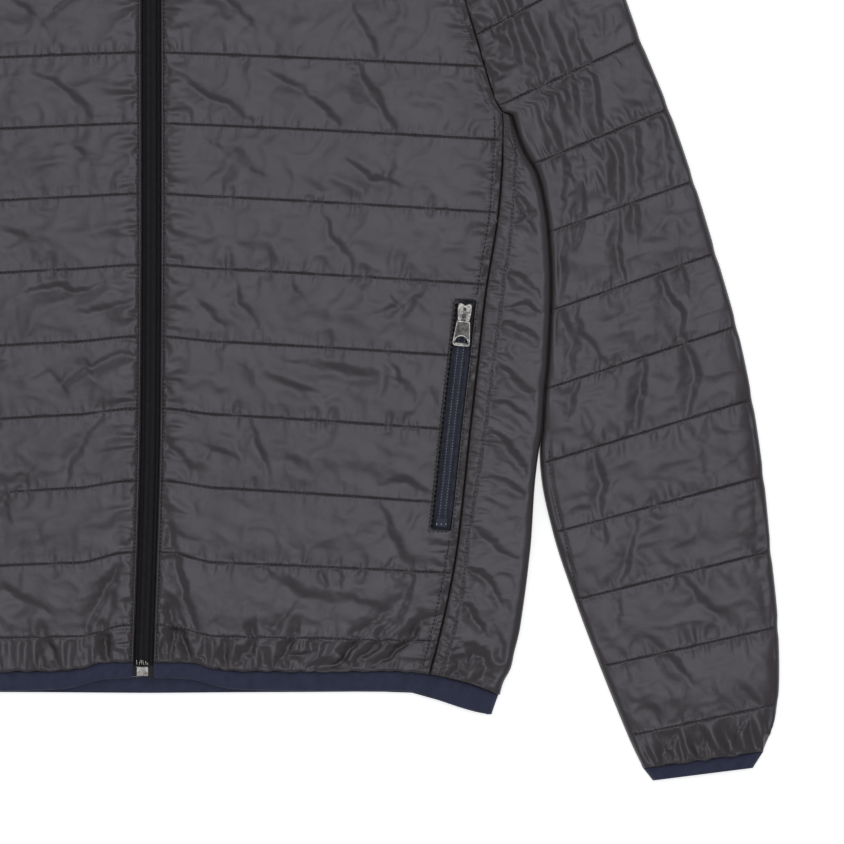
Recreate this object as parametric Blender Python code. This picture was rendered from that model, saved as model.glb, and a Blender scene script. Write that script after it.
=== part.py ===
"""A light quilted jacket with a stand collar and a front zip, lying flat and face up.

Blender's units are metres, with +Z up. The origin is on the surface that the jacket lies on,
below the middle of its outline. +X is the wearer's left and +Y points to the collar.
Sizes below are in millimetres; MM turns them into metres where a mesh is made.

The garment lies as two layers. The back layer rests on the surface, and the front layer lies
on it with a thin slot between them. Side panels, sleeves, collar and hem binding go round the
folded edges and so belong to both layers. Each cloth piece is one closed wall between an
outer sheet, which carries the quilting, and a plain inner sheet.
"""
import math

import bmesh
import bpy
from mathutils import Matrix, Vector

MM = 0.001

# Heights above the surface
BACK_TOP = 4.5          # inner face of the back layer
FRONT_UNDER = 4.9       # inner face of the front layer
STITCHED_TOP = 7.4      # outer face of the front layer on a stitched line
CROWN_TOP = 12.2        # outer face of the front layer between two stitched lines
FOLD_TOP = 10.8         # outer face where the cloth turns round a folded edge
FLAT_TOP = 7.6          # outer face of a flat binding
UNDER_GROOVE = 1.1      # depth of a stitched line on the side that rests

# Cloth
SEAM_GAP = 0.4          # between two pieces at a seam
BACK_SEAM_GAP = 0.7     # between the back and the side panels, under the jacket
NECK_GAP = 0.7          # between the front neckline and the collar
WALL = 4.0              # wall thickness at a folded edge
FOLD_REACH = 6.5        # how far in from a folded edge the cloth starts to turn
EDGE_FADE = 9.0         # distance over which the padding thins towards a seam
COLUMN = 21.0           # spacing of the points across a panel
GATHER_COLUMN = 3.7     # the same along a gathered edge
GATHER_PITCH = 13.0     # one gather to the next at hem and cuffs
GATHER_HEIGHT = 1.3
FOLD_ANGLES = [90, 50, 0, -50, -90]

# Quilting: stitched lines across the body, and the share of a channel at which rows lie
QUILT_PITCH = 46.6
QUILT_TOP_LINE = 310.0  # highest line at the front zip
QUILT_LINES = 14
QUILT_DROP = 11.4       # how much lower a line ends at the side seam than at the zip
QUILT_SPREAD = 215.0    # distance from the zip over which it drops
CHANNEL_STEPS = [0.0, 0.14, 0.5, 0.86]
NECK_STEPS = [0.0, 0.14, 0.32, 0.5, 0.68, 0.86]   # the same where the neckline curves
HEM_STEPS = [1.0, 0.86, 0.6, 0.3]       # the same from the hem to the lowest line

# Body outline, right half of the drawing; the other half mirrors it
NECK_HALF = 94.0
SHOULDER_Y = 329.0      # where the shoulder seam meets the neck
NECK_DEPTH = 77.0       # front neckline below that point
BACK_NECK_DIP = 12.0
UNDERARM_Y = 38.0
SHOULDER_POINT = (226.0, 264.0)

FRONT_SEAM = [  # y, x of the front panel's side seam and armhole, from hem to shoulder
    (-345, 180.5), (-326, 183.5), (-313, 187), (-279, 195), (-246, 201), (-205, 205.8),
    (-168, 209.6), (-125, 214.6), (-79, 219.8), (-32, 227.4), (0, 230.2), (25, 231.2),
    (38, 230.6), (46, 226.2), (66, 219.8), (88, 213.3), (111, 206.7), (140, 201),
    (170, 198.4), (205, 200.5), (240, 212), (264, 226),
]
SIDE_FOLD = [  # y, x of the folded side edge of the body
    (-341, 229), (-333, 231.5), (-324, 236), (-313, 238.6), (-296, 242.5), (-246, 249),
    (-205, 251.8), (-187, 253.8), (-168, 256.8), (-143, 258.3), (-125, 260.2), (-79, 262.2),
    (-50, 261.3), (-21, 258), (-1, 252.8), (11, 246), (25, 240), (38, 236),
]
HEM = [  # x, y of the front hem seam, y of the front binding's free edge
    (0, -319, -329.8), (30, -319.2, -331), (42, -322.4, -334.2), (54, -324.5, -336.8),
    (100, -325, -338.2), (171, -325.2, -338.6), (186, -327.5, -343), (206, -332, -349.6),
    (218, -336, -352.6), (229, -340.4, -353.8),
]
BACK_HEM = [  # x, y of the back hem seam, y of the back binding's free edge
    (0, -329, -339.4), (100, -327, -338.8), (171, -326, -339.2), (186, -327.6, -343),
    (206, -332, -349.6), (218, -336, -352.6), (229, -340.4, -353.8),
]
BACK_FLANGE = 34.0      # width of the side panel that lies under the body
UNDERARM_FLANGE = 4.5   # the same at the underarm
FLANGE_TAPER = 83.0     # distance below the underarm over which it narrows
HEM_CORNER_Y = -341.0   # where the side fold meets the hem
HEM_GATHER_TOP = -300.0     # the gathers of the side panel start below this height
LOWEST_SIDE_ROW = -338.0
SIDE_ROWS = 34
HEM_FOLD_X = (228.6, 224.0)   # folded edge of the hem binding, at its seam and free edge

# Sleeve: each stitched line from the shoulder to the cuff, by its two ends
SLEEVE_LINES = [  # inner_x, inner_y, outer_x, outer_y
    (222.0, 255.0, 229.5, 259.5),
    (211.0, 230.0, 237.0, 246.0),
    (202.0, 178.0, 257.4, 218.4),
    (204.8, 134.0, 280.2, 180.0),
    (214.0, 88.0, 302.3, 136.0),
    (235.3, 42.3, 321.1, 85.2),
    (249.0, 4.0, 339.3, 40.6),
    (260.7, -40.0, 355.6, -6.5),
    (262.0, -91.0, 369.9, -53.3),
    (259.4, -142.0, 383.5, -100.8),
    (255.5, -190.5, 393.6, -148.2),
    (263.9, -235.3, 401.0, -198.3),
    (278.2, -278.9, 405.8, -247.0),
    (294.5, -322.4, 410.5, -296.4),
    (312.7, -367.3, 410.2, -346.5),
    (322.4, -388.0, 401.0, -377.2),
]
SLEEVE_CLEAR = 0.9      # between the sleeve and the body that it lies beside
SLEEVE_LEAVES_BODY_Y = -215.0
CUFF_STEPS = [0.0, 0.14, 0.4, 0.7, 0.9]     # rows of the gathered channel at the cuff
SCALLOP = 1.4           # how far a stitched line draws the sleeve's outer edge in
CUFF_FREE_EDGE = ((329.0, -396.4), (394.0, -388.2))   # inner and outer end

# Zips
ZIP_GAP = 13.0          # between the two front edges
ZIP_LEAN = [(-340, -2.4), (111, 2.6), (420, 0.8)]     # y, x of the front zip's middle
TAPE_UNDER = 5.4
TAPE_TOP = 6.5
COIL_TOP = 7.6
COIL_HALF = 3.4
ZIP_BOTTOM = -321.6
ZIP_BOX_SIZE = (8.0, 6.5, 3.2)
ZIP_BOX_PLACE = (-3.0, -325.3, 5.3)
POCKET_TOP = -84.5
POCKET_BOTTOM = -233.5
POCKET_WIDTH = 13.6
POCKET_INSET = 5.0      # from the side seam to the pocket zip's opening
POCKET_SLIDER_DOWN = 7.8    # middle of the slider below the opening's top
POCKET_STOP_UP = 5.0    # middle of the stop above the opening's bottom
NOTCH_RAMP = 0.9        # height over which a panel's edge steps in at the pocket
STOP_SIZE = (7.6, 6.2, 2.0)
BLOCK_BEVEL = 0.5       # on the edges of the box and the stops
COIL_RAMP = 0.06        # share of a tape's width over which it rises to the coil

# Slider and pull, round the axis of the bar that the pull swings on
SLIDER_THICK = 2.0
BAR_ABOVE_SLIDER = 1.4
SLIDER_UNDER = COIL_TOP + 0.3
BAIL_INNER = 2.2
BAIL_OUTER = 3.5
BAIL_WIDTH = 1.8
PULL_THICK = 1.4
PULL_TILT = 5.0         # degrees; the free end lies lower than the bar
SLIDER_OUTLINE = [  # x, y of the right half, from the front notch round to the rear
    (0.0, 5.4), (1.4, 6.4), (3.4, 7.0), (4.9, 5.6), (5.2, 3.2), (4.9, -1.5), (4.2, -5.6), (3.2, -6.6),
]
PULL_OUTLINE = [  # x, y of the right half, from the bar to the free end
    (2.2, 0.65), (2.3, -4.4), (4.3, -5.7), (5.9, -20.0), (5.2, -21.3), (3.0, -21.8),
]
PULL_WINDOW = (1.3, -0.65, -3.95)      # half width, top, bottom
PULL_HOLE = (4.1, -19.4)               # half moon, its arch to the bar: radius, y of its flat side

# Collar
COLLAR_HEIGHT = 67.0
COLLAR_LEAN = 8.0       # how far its folded edge leans in
BACK_COLLAR_TOP = 391.0
COLLAR_EDGE_Y = SHOULDER_Y - NECK_DEPTH + COLLAR_HEIGHT   # its free edge beside the zip
ZIP_BELOW_EDGE = 2.0    # end of the zip below that edge
SLIDER_BELOW_EDGE = 11.0
COLLAR_STEPS = [0.0, 0.06, 0.22, 0.42, 0.5, 0.58, 0.78, 0.94, 1.0]

# Broad folds of the cloth, drawn on the wearer's left half; the height is negative in a trough
BODY_FOLDS = [  # x0, y0, x1, y1, half_width, height
    (137, 69, 160, 29, 9, -2.4), (23, 62, 69, 30, 10, -1.8), (102, 51, 123, 32, 9, -1.8),
    (132, 6, 156, -6, 9, -1.6), (114, -27, 132, -57, 9, -1.8), (58, -71, 71, -99, 10, -1.8),
    (149, -92, 172, -83, 9, -1.8), (102, -125, 155, -134, 12, -2.2), (67, -163, 79, -194, 9, -1.8),
    (12, -214, 19, -250, 7, -2.0), (19, -250, 32, -298, 7, -2.4), (84, -263, 132, -279, 11, -2.0),
    (155, -222, 168, -254, 8, -1.8), (60, 210, 96, 176, 12, -1.8), (120, 150, 150, 116, 11, -1.8),
    (40, 118, 66, 98, 10, -1.6), (150, 236, 178, 212, 11, -1.8),
]
SLEEVE_FOLDS = [  # the same columns
    (232, 150, 258, 96, 10, -2.2), (262, 60, 300, 12, 10, -2.2), (288, -36, 318, -62, 10, -2.0),
    (330, -8, 344, -44, 9, -1.8), (290, -182, 299, -212, 10, -2.2), (312, -232, 322, -262, 9, -1.8),
    (336, -120, 366, -142, 10, -1.8), (352, -268, 372, -290, 9, -1.6), (330, -306, 352, -330, 9, -1.8),
]

FINISHES = {  # colour, roughness, metallic
    "shell": ((0.080, 0.074, 0.074), 0.38, 0.0),
    "binding": ((0.026, 0.032, 0.060), 0.80, 0.0),
    "zip_tape": ((0.010, 0.010, 0.012), 0.60, 0.0),
    "pocket_tape": ((0.022, 0.028, 0.052), 0.65, 0.0),
    "metal": ((0.50, 0.50, 0.49), 0.32, 1.0),
}


# ---------------------------------------------------------------- numbers and curves

def mix(low, high, share):
    return low + (high - low) * share


def clamp01(value):
    return min(1.0, max(0.0, value))


def smooth(value):
    value = clamp01(value)
    return value * value * (3.0 - 2.0 * value)


def curve(rows, column=1):
    """A smooth function of a table's first column that passes through the given column."""
    rows = sorted(rows)
    keys = [row[0] for row in rows]
    values = [row[column] for row in rows]
    last = len(keys) - 1
    slopes = []
    for i in range(last + 1):
        low, high = max(i - 1, 0), min(i + 1, last)
        slopes.append((values[high] - values[low]) / (keys[high] - keys[low]))

    def at(key):
        key = min(keys[-1], max(keys[0], key))
        i = 0
        while i < last - 1 and key > keys[i + 1]:
            i += 1
        span = keys[i + 1] - keys[i]
        t = (key - keys[i]) / span
        return ((2 * t**3 - 3 * t**2 + 1) * values[i] + (t**3 - 2 * t**2 + t) * span * slopes[i]
                + (3 * t**2 - 2 * t**3) * values[i + 1] + (t**3 - t**2) * span * slopes[i + 1])
    return at


front_seam_x = curve(FRONT_SEAM)
side_fold_x = curve(SIDE_FOLD)
hem_y = curve(HEM)
hem_free_y = curve(HEM, 2)
back_hem_y = curve(BACK_HEM)
back_hem_free_y = curve(BACK_HEM, 2)
zip_middle_x = curve(ZIP_LEAN)


def puff(share):
    """Height of the padding, from 0 on a stitched line to 1 in the middle of a channel."""
    return math.sin(math.pi * clamp01(share)) ** 0.7


def gather(distance):
    """Uneven small waves along a gathered edge, from -1 to 1."""
    turn = 2 * math.pi * distance / GATHER_PITCH
    return math.sin(turn + 1.4 * math.sin(turn * 0.31)) * (0.75 + 0.25 * math.sin(turn * 0.43))


def fold_height(folds, x, y):
    """Sum of the broad folds at a point: each is a soft ridge or trough along a line."""
    total = 0.0
    for x0, y0, x1, y1, half_width, height in folds:
        along_x, along_y = x1 - x0, y1 - y0
        share = ((x - x0) * along_x + (y - y0) * along_y) / (along_x**2 + along_y**2)
        nearest = clamp01(share)
        away = math.hypot(x - x0 - nearest * along_x, y - y0 - nearest * along_y)
        total += height * math.exp(-(away / half_width) ** 2)
    return total


def round_fold(edge, top, low=0.0, reach=FOLD_REACH):
    """Section of a folded edge, from its upper to its lower side, as (x, z)."""
    middle, half = (top + low) / 2, (top - low) / 2
    points = []
    for degrees in FOLD_ANGLES:
        angle = math.radians(degrees)
        points.append((edge - reach + reach * math.cos(angle), middle + half * math.sin(angle)))
    return points


def slot_fold(edge, steps=3):
    """Section of the thin slot's end inside a folded edge, listed as round_fold lists it."""
    points = []
    for i in range(steps):
        turn = math.pi * (0.5 - i / (steps - 1))
        middle, half = (FRONT_UNDER + BACK_TOP) / 2, (FRONT_UNDER - BACK_TOP) / 2
        points.append((edge - 0.25 + 0.25 * math.cos(turn), middle + half * math.sin(turn)))
    return points


# ---------------------------------------------------------------- meshes

def bridge(mesh, first, second):
    """Join two lines of points, which may differ in number, with triangles."""
    i = j = 0
    while i < len(first) - 1 or j < len(second) - 1:
        at_end = j == len(second) - 1
        step_first = i < len(first) - 1 and (
            at_end or (first[i + 1].co - second[j].co).length < (second[j + 1].co - first[i].co).length)
        if step_first:
            mesh.faces.new((first[i], first[i + 1], second[j]))
            i += 1
        else:
            mesh.faces.new((first[i], second[j + 1], second[j]))
            j += 1


def wall(name, slot, outer, inner, tube_rows=0):
    """Closed solid between two sheets, each a list of rows of (x, y, z) in millimetres.

    The first tube_rows rows are rings; the others end at two free edges.
    """
    mesh = bmesh.new()
    sheets = []
    for sheet in (outer, inner):
        rows = []
        for index, row in enumerate(sheet):
            line = [mesh.verts.new(Vector(point) * MM) for point in row]
            if index < tube_rows:
                line.append(line[0])
            rows.append(line)
        for lower, upper in zip(rows, rows[1:]):
            bridge(mesh, lower, upper)
        sheets.append(rows)
    outer_rows, inner_rows = sheets
    for end in (0, -1):
        bridge(mesh, outer_rows[end], inner_rows[end])
    first_open = max(tube_rows - 1, 0)
    for side in (0, -1):
        outer_edge = [row[side] for row in outer_rows[first_open:]]
        inner_edge = [row[side] for row in inner_rows[first_open:]]
        bridge(mesh, outer_edge, inner_edge)
    return finish_mesh(name, slot, mesh)


def finish_mesh(name, slot, mesh, sharp_degrees=50):
    """Turn a bmesh into a named object with its material, shaded smooth."""
    bmesh.ops.recalc_face_normals(mesh, faces=mesh.faces[:])
    data = bpy.data.meshes.new(name)
    mesh.to_mesh(data)
    mesh.free()
    data.shade_smooth()
    data.set_sharp_from_angle(angle=math.radians(sharp_degrees))
    data.materials.append(material(name, slot))
    piece = bpy.data.objects.new(name, data)
    bpy.context.scene.collection.objects.link(piece)
    return piece


def material(name, slot):
    colour, roughness, metallic = FINISHES[slot]
    made = bpy.data.materials.new(name)
    made.use_nodes = True
    shader = made.node_tree.nodes["Principled BSDF"]
    shader.inputs["Base Color"].default_value = (*colour, 1.0)
    shader.inputs["Roughness"].default_value = roughness
    shader.inputs["Metallic"].default_value = metallic
    return made


def side_name(name, side):
    return f"{name}_{'left' if side > 0 else 'right'}"


def to_side(rows, side):
    """Rows drawn on the wearer's left, put on the given side (1 left, -1 right)."""
    return [[(side * x, y, z) for x, y, z in row] for row in rows]


# ---------------------------------------------------------------- body outline

def quilt_y(line_y, x):
    """Height of a stitched line, named by its height at the zip, at a distance from the zip."""
    share = min(1.0, abs(x) / QUILT_SPREAD)
    return line_y - QUILT_DROP * share * (2.0 - share)


def zip_edge_x(y, side):
    """Front edge of a front panel, or its neckline above the zip's foot of the neck."""
    edge = ZIP_GAP / 2 + side * zip_middle_x(y)
    rise = SHOULDER_Y - y
    if rise < NECK_DEPTH:
        edge = max(edge, NECK_HALF * math.sqrt(max(0.0, 1 - (rise / NECK_DEPTH) ** 2)))
    return edge


def shoulder_x(y):
    share = (y - SHOULDER_POINT[1]) / (SHOULDER_Y - SHOULDER_POINT[1])
    return mix(SHOULDER_POINT[0], NECK_HALF, clamp01(share))


def pocket_share(y):
    """1 where the pocket's opening lies, 0 above and below it, with a short step between."""
    return min(clamp01((POCKET_TOP + NOTCH_RAMP - y) / NOTCH_RAMP),
               clamp01((y - POCKET_BOTTOM + NOTCH_RAMP) / NOTCH_RAMP))


def edge_points():
    """Points through which rows pass: the pocket's ends, where the edge steps, and the underarm."""
    out_of = POCKET_INSET + POCKET_WIDTH
    return [(front_seam_x(y), y) for y in (UNDERARM_Y, UNDERARM_Y + 8, UNDERARM_Y + 15)] + [
        (front_seam_x(POCKET_TOP), POCKET_TOP + NOTCH_RAMP),
        (front_seam_x(POCKET_TOP) - out_of, POCKET_TOP),
        (front_seam_x(POCKET_BOTTOM), POCKET_BOTTOM),
        (front_seam_x(POCKET_BOTTOM) - out_of, POCKET_BOTTOM - NOTCH_RAMP),
    ]


def front_edge_x(y):
    """Side edge of a front panel: shoulder seam, armhole, side seam and pocket opening."""
    if y > SHOULDER_POINT[1]:
        return shoulder_x(y)
    return front_seam_x(y) - pocket_share(y) * (POCKET_INSET + POCKET_WIDTH + SEAM_GAP)


def back_seam_x(y):
    """Edge of the back panel beside the side panel's lower flange."""
    above_taper = y - UNDERARM_Y + FLANGE_TAPER
    width = mix(BACK_FLANGE, UNDERARM_FLANGE, smooth(above_taper / FLANGE_TAPER))
    return side_fold_x(y) - width


def back_edge_x(y):
    if y > SHOULDER_POINT[1]:
        return shoulder_x(y)
    above = smooth((y - UNDERARM_Y + 6) / 8)
    return mix(back_seam_x(y), front_seam_x(y), above)


def meet(edge, height_at, start):
    """The x where an edge, x of y, crosses a row, y of x."""
    x = start
    for _ in range(25):
        x = mix(x, edge(height_at(x)), 0.7)
    return x


def columns(left, right, spacing):
    """Places across a row: close to each end, and on an even grid between."""
    width = right - left
    if width < 30:
        return [mix(left, right, share) for share in (0, 0.25, 0.75, 1)]
    grid = []
    place = math.ceil((left + 13) / spacing) * spacing
    while place < right - 12:
        grid.append(place)
        place += spacing
    return [left, left + 2.5, left + 8, *grid, right - 8, right - 2.5, right]


def row_curves():
    """Rows of the body from hem to shoulder: (y of x, lift of the padding, gathering)."""
    rows = []
    lines = [QUILT_TOP_LINE - QUILT_PITCH * i for i in range(QUILT_LINES)]
    lowest = lines[-1]
    for share in HEM_STEPS:
        rows.append((lambda x, s=share: mix(quilt_y(lowest, x), hem_y(x), s), puff(share), share))
    for lower in reversed(lines):
        for step in NECK_STEPS if lower > 200 else CHANNEL_STEPS:
            height = lower + QUILT_PITCH * step
            rows.append((lambda x, h=height: quilt_y(h, x), puff(step), 0.0))
    return rows


def row_through(x_there, y_there):
    """The row, parallel to the stitched lines, that passes through a point."""
    return lambda x: quilt_y(y_there - quilt_y(0, x_there), x)


# ---------------------------------------------------------------- cloth pieces

def front_panel(side):
    """Quilted front: stitched channels above a plain face, gathered into the hem."""
    rows = row_curves()
    top_height = quilt_y(0, NECK_HALF)
    rows = [row for row in rows if row[0](NECK_HALF) < SHOULDER_Y - 2]
    rows.append((lambda x: SHOULDER_Y - 1.0 + quilt_y(0, x) - top_height, 0.0, 0.0))
    for x, y in edge_points():
        at_line = (QUILT_TOP_LINE - y + quilt_y(0, x)) / QUILT_PITCH % 1.0
        rows.append((row_through(x, y), puff(at_line), 0.0))
    rows.sort(key=lambda row: row[0](150.0))

    outer, inner = [], []
    for height_at, lift, gathered in rows:
        left = meet(lambda y: zip_edge_x(y, side), height_at, 40.0)
        right = meet(front_edge_x, height_at, 150.0)
        right = max(right, left + 1.5)
        spacing = GATHER_COLUMN if gathered else COLUMN
        outer_row = []
        for x in columns(left, right, spacing):
            y = height_at(x)
            edge = smooth((min(x - left, right - x) + 2.0) / EDGE_FADE)
            z = mix(STITCHED_TOP, CROWN_TOP, lift * edge)
            z += fold_height(BODY_FOLDS, x, y) * lift * edge
            z += GATHER_HEIGHT * gathered * gather(x) * (0.4 + 0.6 * edge)
            outer_row.append((x, y, z))
        outer.append(outer_row)
        places = [point[0] for point in outer_row] if gathered == 1.0 else (left, right)
        inner.append([(x, height_at(x), FRONT_UNDER) for x in places])
    return wall(side_name("front_panel", side), "shell", to_side(outer, side), to_side(inner, side))


def back_panel():
    """Back, face down: its outer sheet rests on the surface, with the stitched lines sunk."""
    heights = []
    for i in range(QUILT_LINES):
        line = QUILT_TOP_LINE - QUILT_PITCH * i - QUILT_DROP
        heights += [(line - 3, 0.0), (line, UNDER_GROOVE), (line + 3, 0.0)]
        heights += [(line + QUILT_PITCH * share, 0.0) for share in (0.3, 0.5, 0.7)]
    heights = [(height, depth) for height, depth in heights if -322 < height < SHOULDER_Y - 4]
    heights += [(SHOULDER_Y - 2, 0.0), (SHOULDER_Y, 0.0)]
    heights.sort()
    outer, inner = [], []

    def add_row(height_at, depth, steps):
        edge = meet(back_edge_x, height_at, 190.0) - BACK_SEAM_GAP / 2
        places = [mix(-edge, edge, i / steps) for i in range(steps + 1)]
        outer.append([(x, height_at(x), depth) for x in places])
        inner.append([(x, height_at(x), BACK_TOP) for x in (places if steps != 2 else places[::2])])

    add_row(lambda x: back_hem_y(abs(x)), 0.0, steps=64)
    for height, depth in heights:
        bend = smooth((height - 230) / (SHOULDER_Y - 230)) * BACK_NECK_DIP

        def height_at(x, height=height, bend=bend):
            return height - bend * max(0.0, 1 - (x / NECK_HALF) ** 2)
        add_row(height_at, depth, steps=12 if bend > 0 else 2)
    return wall("back_panel", "shell", outer, inner)


def side_panel(side):
    """Plain panel that wraps from the front seam round the side fold to the back seam."""
    heights = [mix(LOWEST_SIDE_ROW, UNDERARM_Y, i / SIDE_ROWS) for i in range(1, SIDE_ROWS + 1)]
    for edge in (POCKET_TOP, POCKET_TOP + NOTCH_RAMP, POCKET_BOTTOM, POCKET_BOTTOM - NOTCH_RAMP):
        heights.append(edge)
    heights.sort()
    outer, inner = [], []
    gather_zone = HEM_GATHER_TOP - LOWEST_SIDE_ROW
    for index, height in enumerate([HEM_CORNER_Y] + heights):
        near_hem = smooth((HEM_GATHER_TOP - height) / gather_zone)

        def height_at(x, height=height, near_hem=near_hem):
            return mix(height, hem_y(x) + height - HEM_CORNER_Y, near_hem)

        fold = side_fold_x(height)
        seam = meet(front_seam_x, height_at, 205.0) + SEAM_GAP
        height_at_seam = height_at(seam)
        seam -= pocket_share(height_at_seam) * POCKET_INSET
        turn = fold - min(FOLD_REACH, (fold - seam) * 0.6)
        spacing = GATHER_COLUMN if near_hem > 0.3 else COLUMN
        places = max(2, round((turn - seam) / spacing))
        outer_row = []
        for i in range(places):
            x = mix(seam, turn, i / places)
            edge = smooth((x - seam + 2.0) / EDGE_FADE)
            z = mix(STITCHED_TOP, FOLD_TOP + 0.4, edge)
            z += GATHER_HEIGHT * near_hem * gather(x) * (1 - i / places)
            outer_row.append((x, height_at(x), z))
        back = meet(back_seam_x, height_at, 215.0) + BACK_SEAM_GAP / 2
        back = min(back, turn - 0.5)
        steps = 10 if index == 0 else 1
        outer_row += [(x, height_at(x), z) for x, z in round_fold(fold, FOLD_TOP, reach=fold - turn)]
        for i in range(1, steps + 1):
            x = mix(turn, back, i / steps)
            outer_row.append((x, height_at(x), 0.0))
        slot = slot_fold(max(fold - WALL, back + 0.4))
        flat = [(mix(seam, slot[0][0], i / steps), FRONT_UNDER) for i in range(steps)]
        under = [(mix(slot[-1][0], back, i / steps), BACK_TOP) for i in range(1, steps + 1)]
        inner_row = [(x, height_at(x), z) for x, z in flat + slot + under]
        outer.append(outer_row)
        inner.append(inner_row)
    return wall(side_name("side_panel", side), "shell", to_side(outer, side), to_side(inner, side))


def sleeve_ends():
    """Rows of the sleeve from cuff to shoulder: inner end, outer end, lift, gathering, open."""
    count = len(SLEEVE_LINES)
    inner_x = curve([(i, line[0]) for i, line in enumerate(SLEEVE_LINES)])
    inner_y = curve([(i, line[1]) for i, line in enumerate(SLEEVE_LINES)])
    outer_x = curve([(i, line[2]) for i, line in enumerate(SLEEVE_LINES)])
    outer_y = curve([(i, line[3]) for i, line in enumerate(SLEEVE_LINES)])
    places = []
    for line in range(count - 1, 0, -1):
        steps = CUFF_STEPS if line == count - 1 else CHANNEL_STEPS
        places += [line - step for step in steps]
    places.append(0.0)
    rows = []
    for place in places:
        lift = puff(place % 1.0)
        low = Vector((inner_x(place), inner_y(place)))
        high = Vector((outer_x(place), outer_y(place)))
        is_open = low.y > UNDERARM_Y + 5
        if is_open:
            low.x = front_seam_x(low.y) + SEAM_GAP
        elif low.y > SLEEVE_LEAVES_BODY_Y:
            low.x = max(low.x, side_fold_x(low.y) + SLEEVE_CLEAR)
        high += (low - high).normalized() * SCALLOP * (1 - lift)
        gathered = clamp01(1 - (count - 1 - place)) if place > count - 2 else 0.0
        rows.append((low, high, lift, gathered, is_open))
    return rows


def sleeve(side):
    """Flattened quilted tube; above the underarm it is open along the armhole."""
    outer, inner = [], []
    tube_rows = 0
    for low, high, lift, gathered, is_open in sleeve_ends():
        width = (high - low).length
        along = (high - low) / width
        reach = min(FOLD_REACH, width * 0.3)
        spacing = GATHER_COLUMN if gathered > 0 else COLUMN
        fold_top = mix(STITCHED_TOP, FOLD_TOP, lift)
        crown = mix(STITCHED_TOP + 0.2, CROWN_TOP, lift)
        rest = UNDER_GROOVE * max(0.0, 1 - 3 * lift)

        def place(u, z, low=low, along=along):
            return (low.x + along.x * u, low.y + along.y * u, z)

        def top_height(u):
            from_seam = u if is_open else u - reach * 0.3
            start = STITCHED_TOP if is_open else fold_top
            near = smooth(from_seam / EDGE_FADE)
            far = smooth((width - reach * 0.3 - u) / EDGE_FADE)
            z = mix(start, crown, near) if near < 1 else mix(fold_top, crown, far)
            x, y, _ = place(u, z)
            z += fold_height(SLEEVE_FOLDS, x, y) * lift * near * far
            return z + GATHER_HEIGHT * gathered * gather(u)

        first = 0.0 if is_open else reach
        span = width - reach - first
        steps = max(2, round(span / spacing))
        top = [(first + span * i / steps, top_height(first + span * i / steps)) for i in range(steps)]
        far_fold = round_fold(width, fold_top, rest, reach)
        near_fold = [(width - u, z) for u, z in far_fold]
        under = [(mix(width - reach, first, share), rest) for share in (0.33, 0.67)]
        slot_end = width - min(WALL, width * 0.4)
        if is_open:
            section = [*top, *far_fold, *under, (0.0, rest)]
            slot = [(0.0, FRONT_UNDER), *slot_fold(slot_end), (0.0, BACK_TOP)]
        else:
            tube_rows += 1
            half = len(near_fold) // 2
            section = [*near_fold[half:0:-1], *top, *far_fold, *under, *near_fold[:half:-1]]
            slot = [(width - slot_end, (FRONT_UNDER + BACK_TOP) / 2), *slot_fold(slot_end)]
        outer.append([place(u, z) for u, z in section])
        inner.append([place(u, z) for u, z in slot])
    return wall(side_name("sleeve", side), "shell", to_side(outer, side), to_side(inner, side), tube_rows)


def cuff_binding(side):
    """Elastic ring that continues the sleeve's end."""
    start = (Vector(SLEEVE_LINES[-1][:2]), Vector(SLEEVE_LINES[-1][2:]))
    end = (Vector(CUFF_FREE_EDGE[0]), Vector(CUFF_FREE_EDGE[1]))
    outer, inner = [], []
    for share in (0.035, 0.15, 0.5, 0.85, 1.0):
        low, high = start[0].lerp(end[0], share), start[1].lerp(end[1], share)
        width = (high - low).length
        along = (high - low) / width
        top = FLAT_TOP - (0.5 if share in (0.035, 1.0) else 0.0)
        far = round_fold(width, top, 0.0, 4.0)
        near = [(width - u, z) for u, z in far]
        half = len(near) // 2
        section = [*near[half::-1], *far, *near[:half:-1]]
        slot = [(3.0, (FRONT_UNDER + BACK_TOP) / 2), *slot_fold(width - 3.0)]
        outer.append([(low.x + along.x * u, low.y + along.y * u, z) for u, z in section])
        inner.append([(low.x + along.x * u, low.y + along.y * u, z) for u, z in slot])
    rows = len(outer)
    return wall(side_name("cuff_binding", side), "binding", to_side(outer, side), to_side(inner, side), rows)


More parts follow.
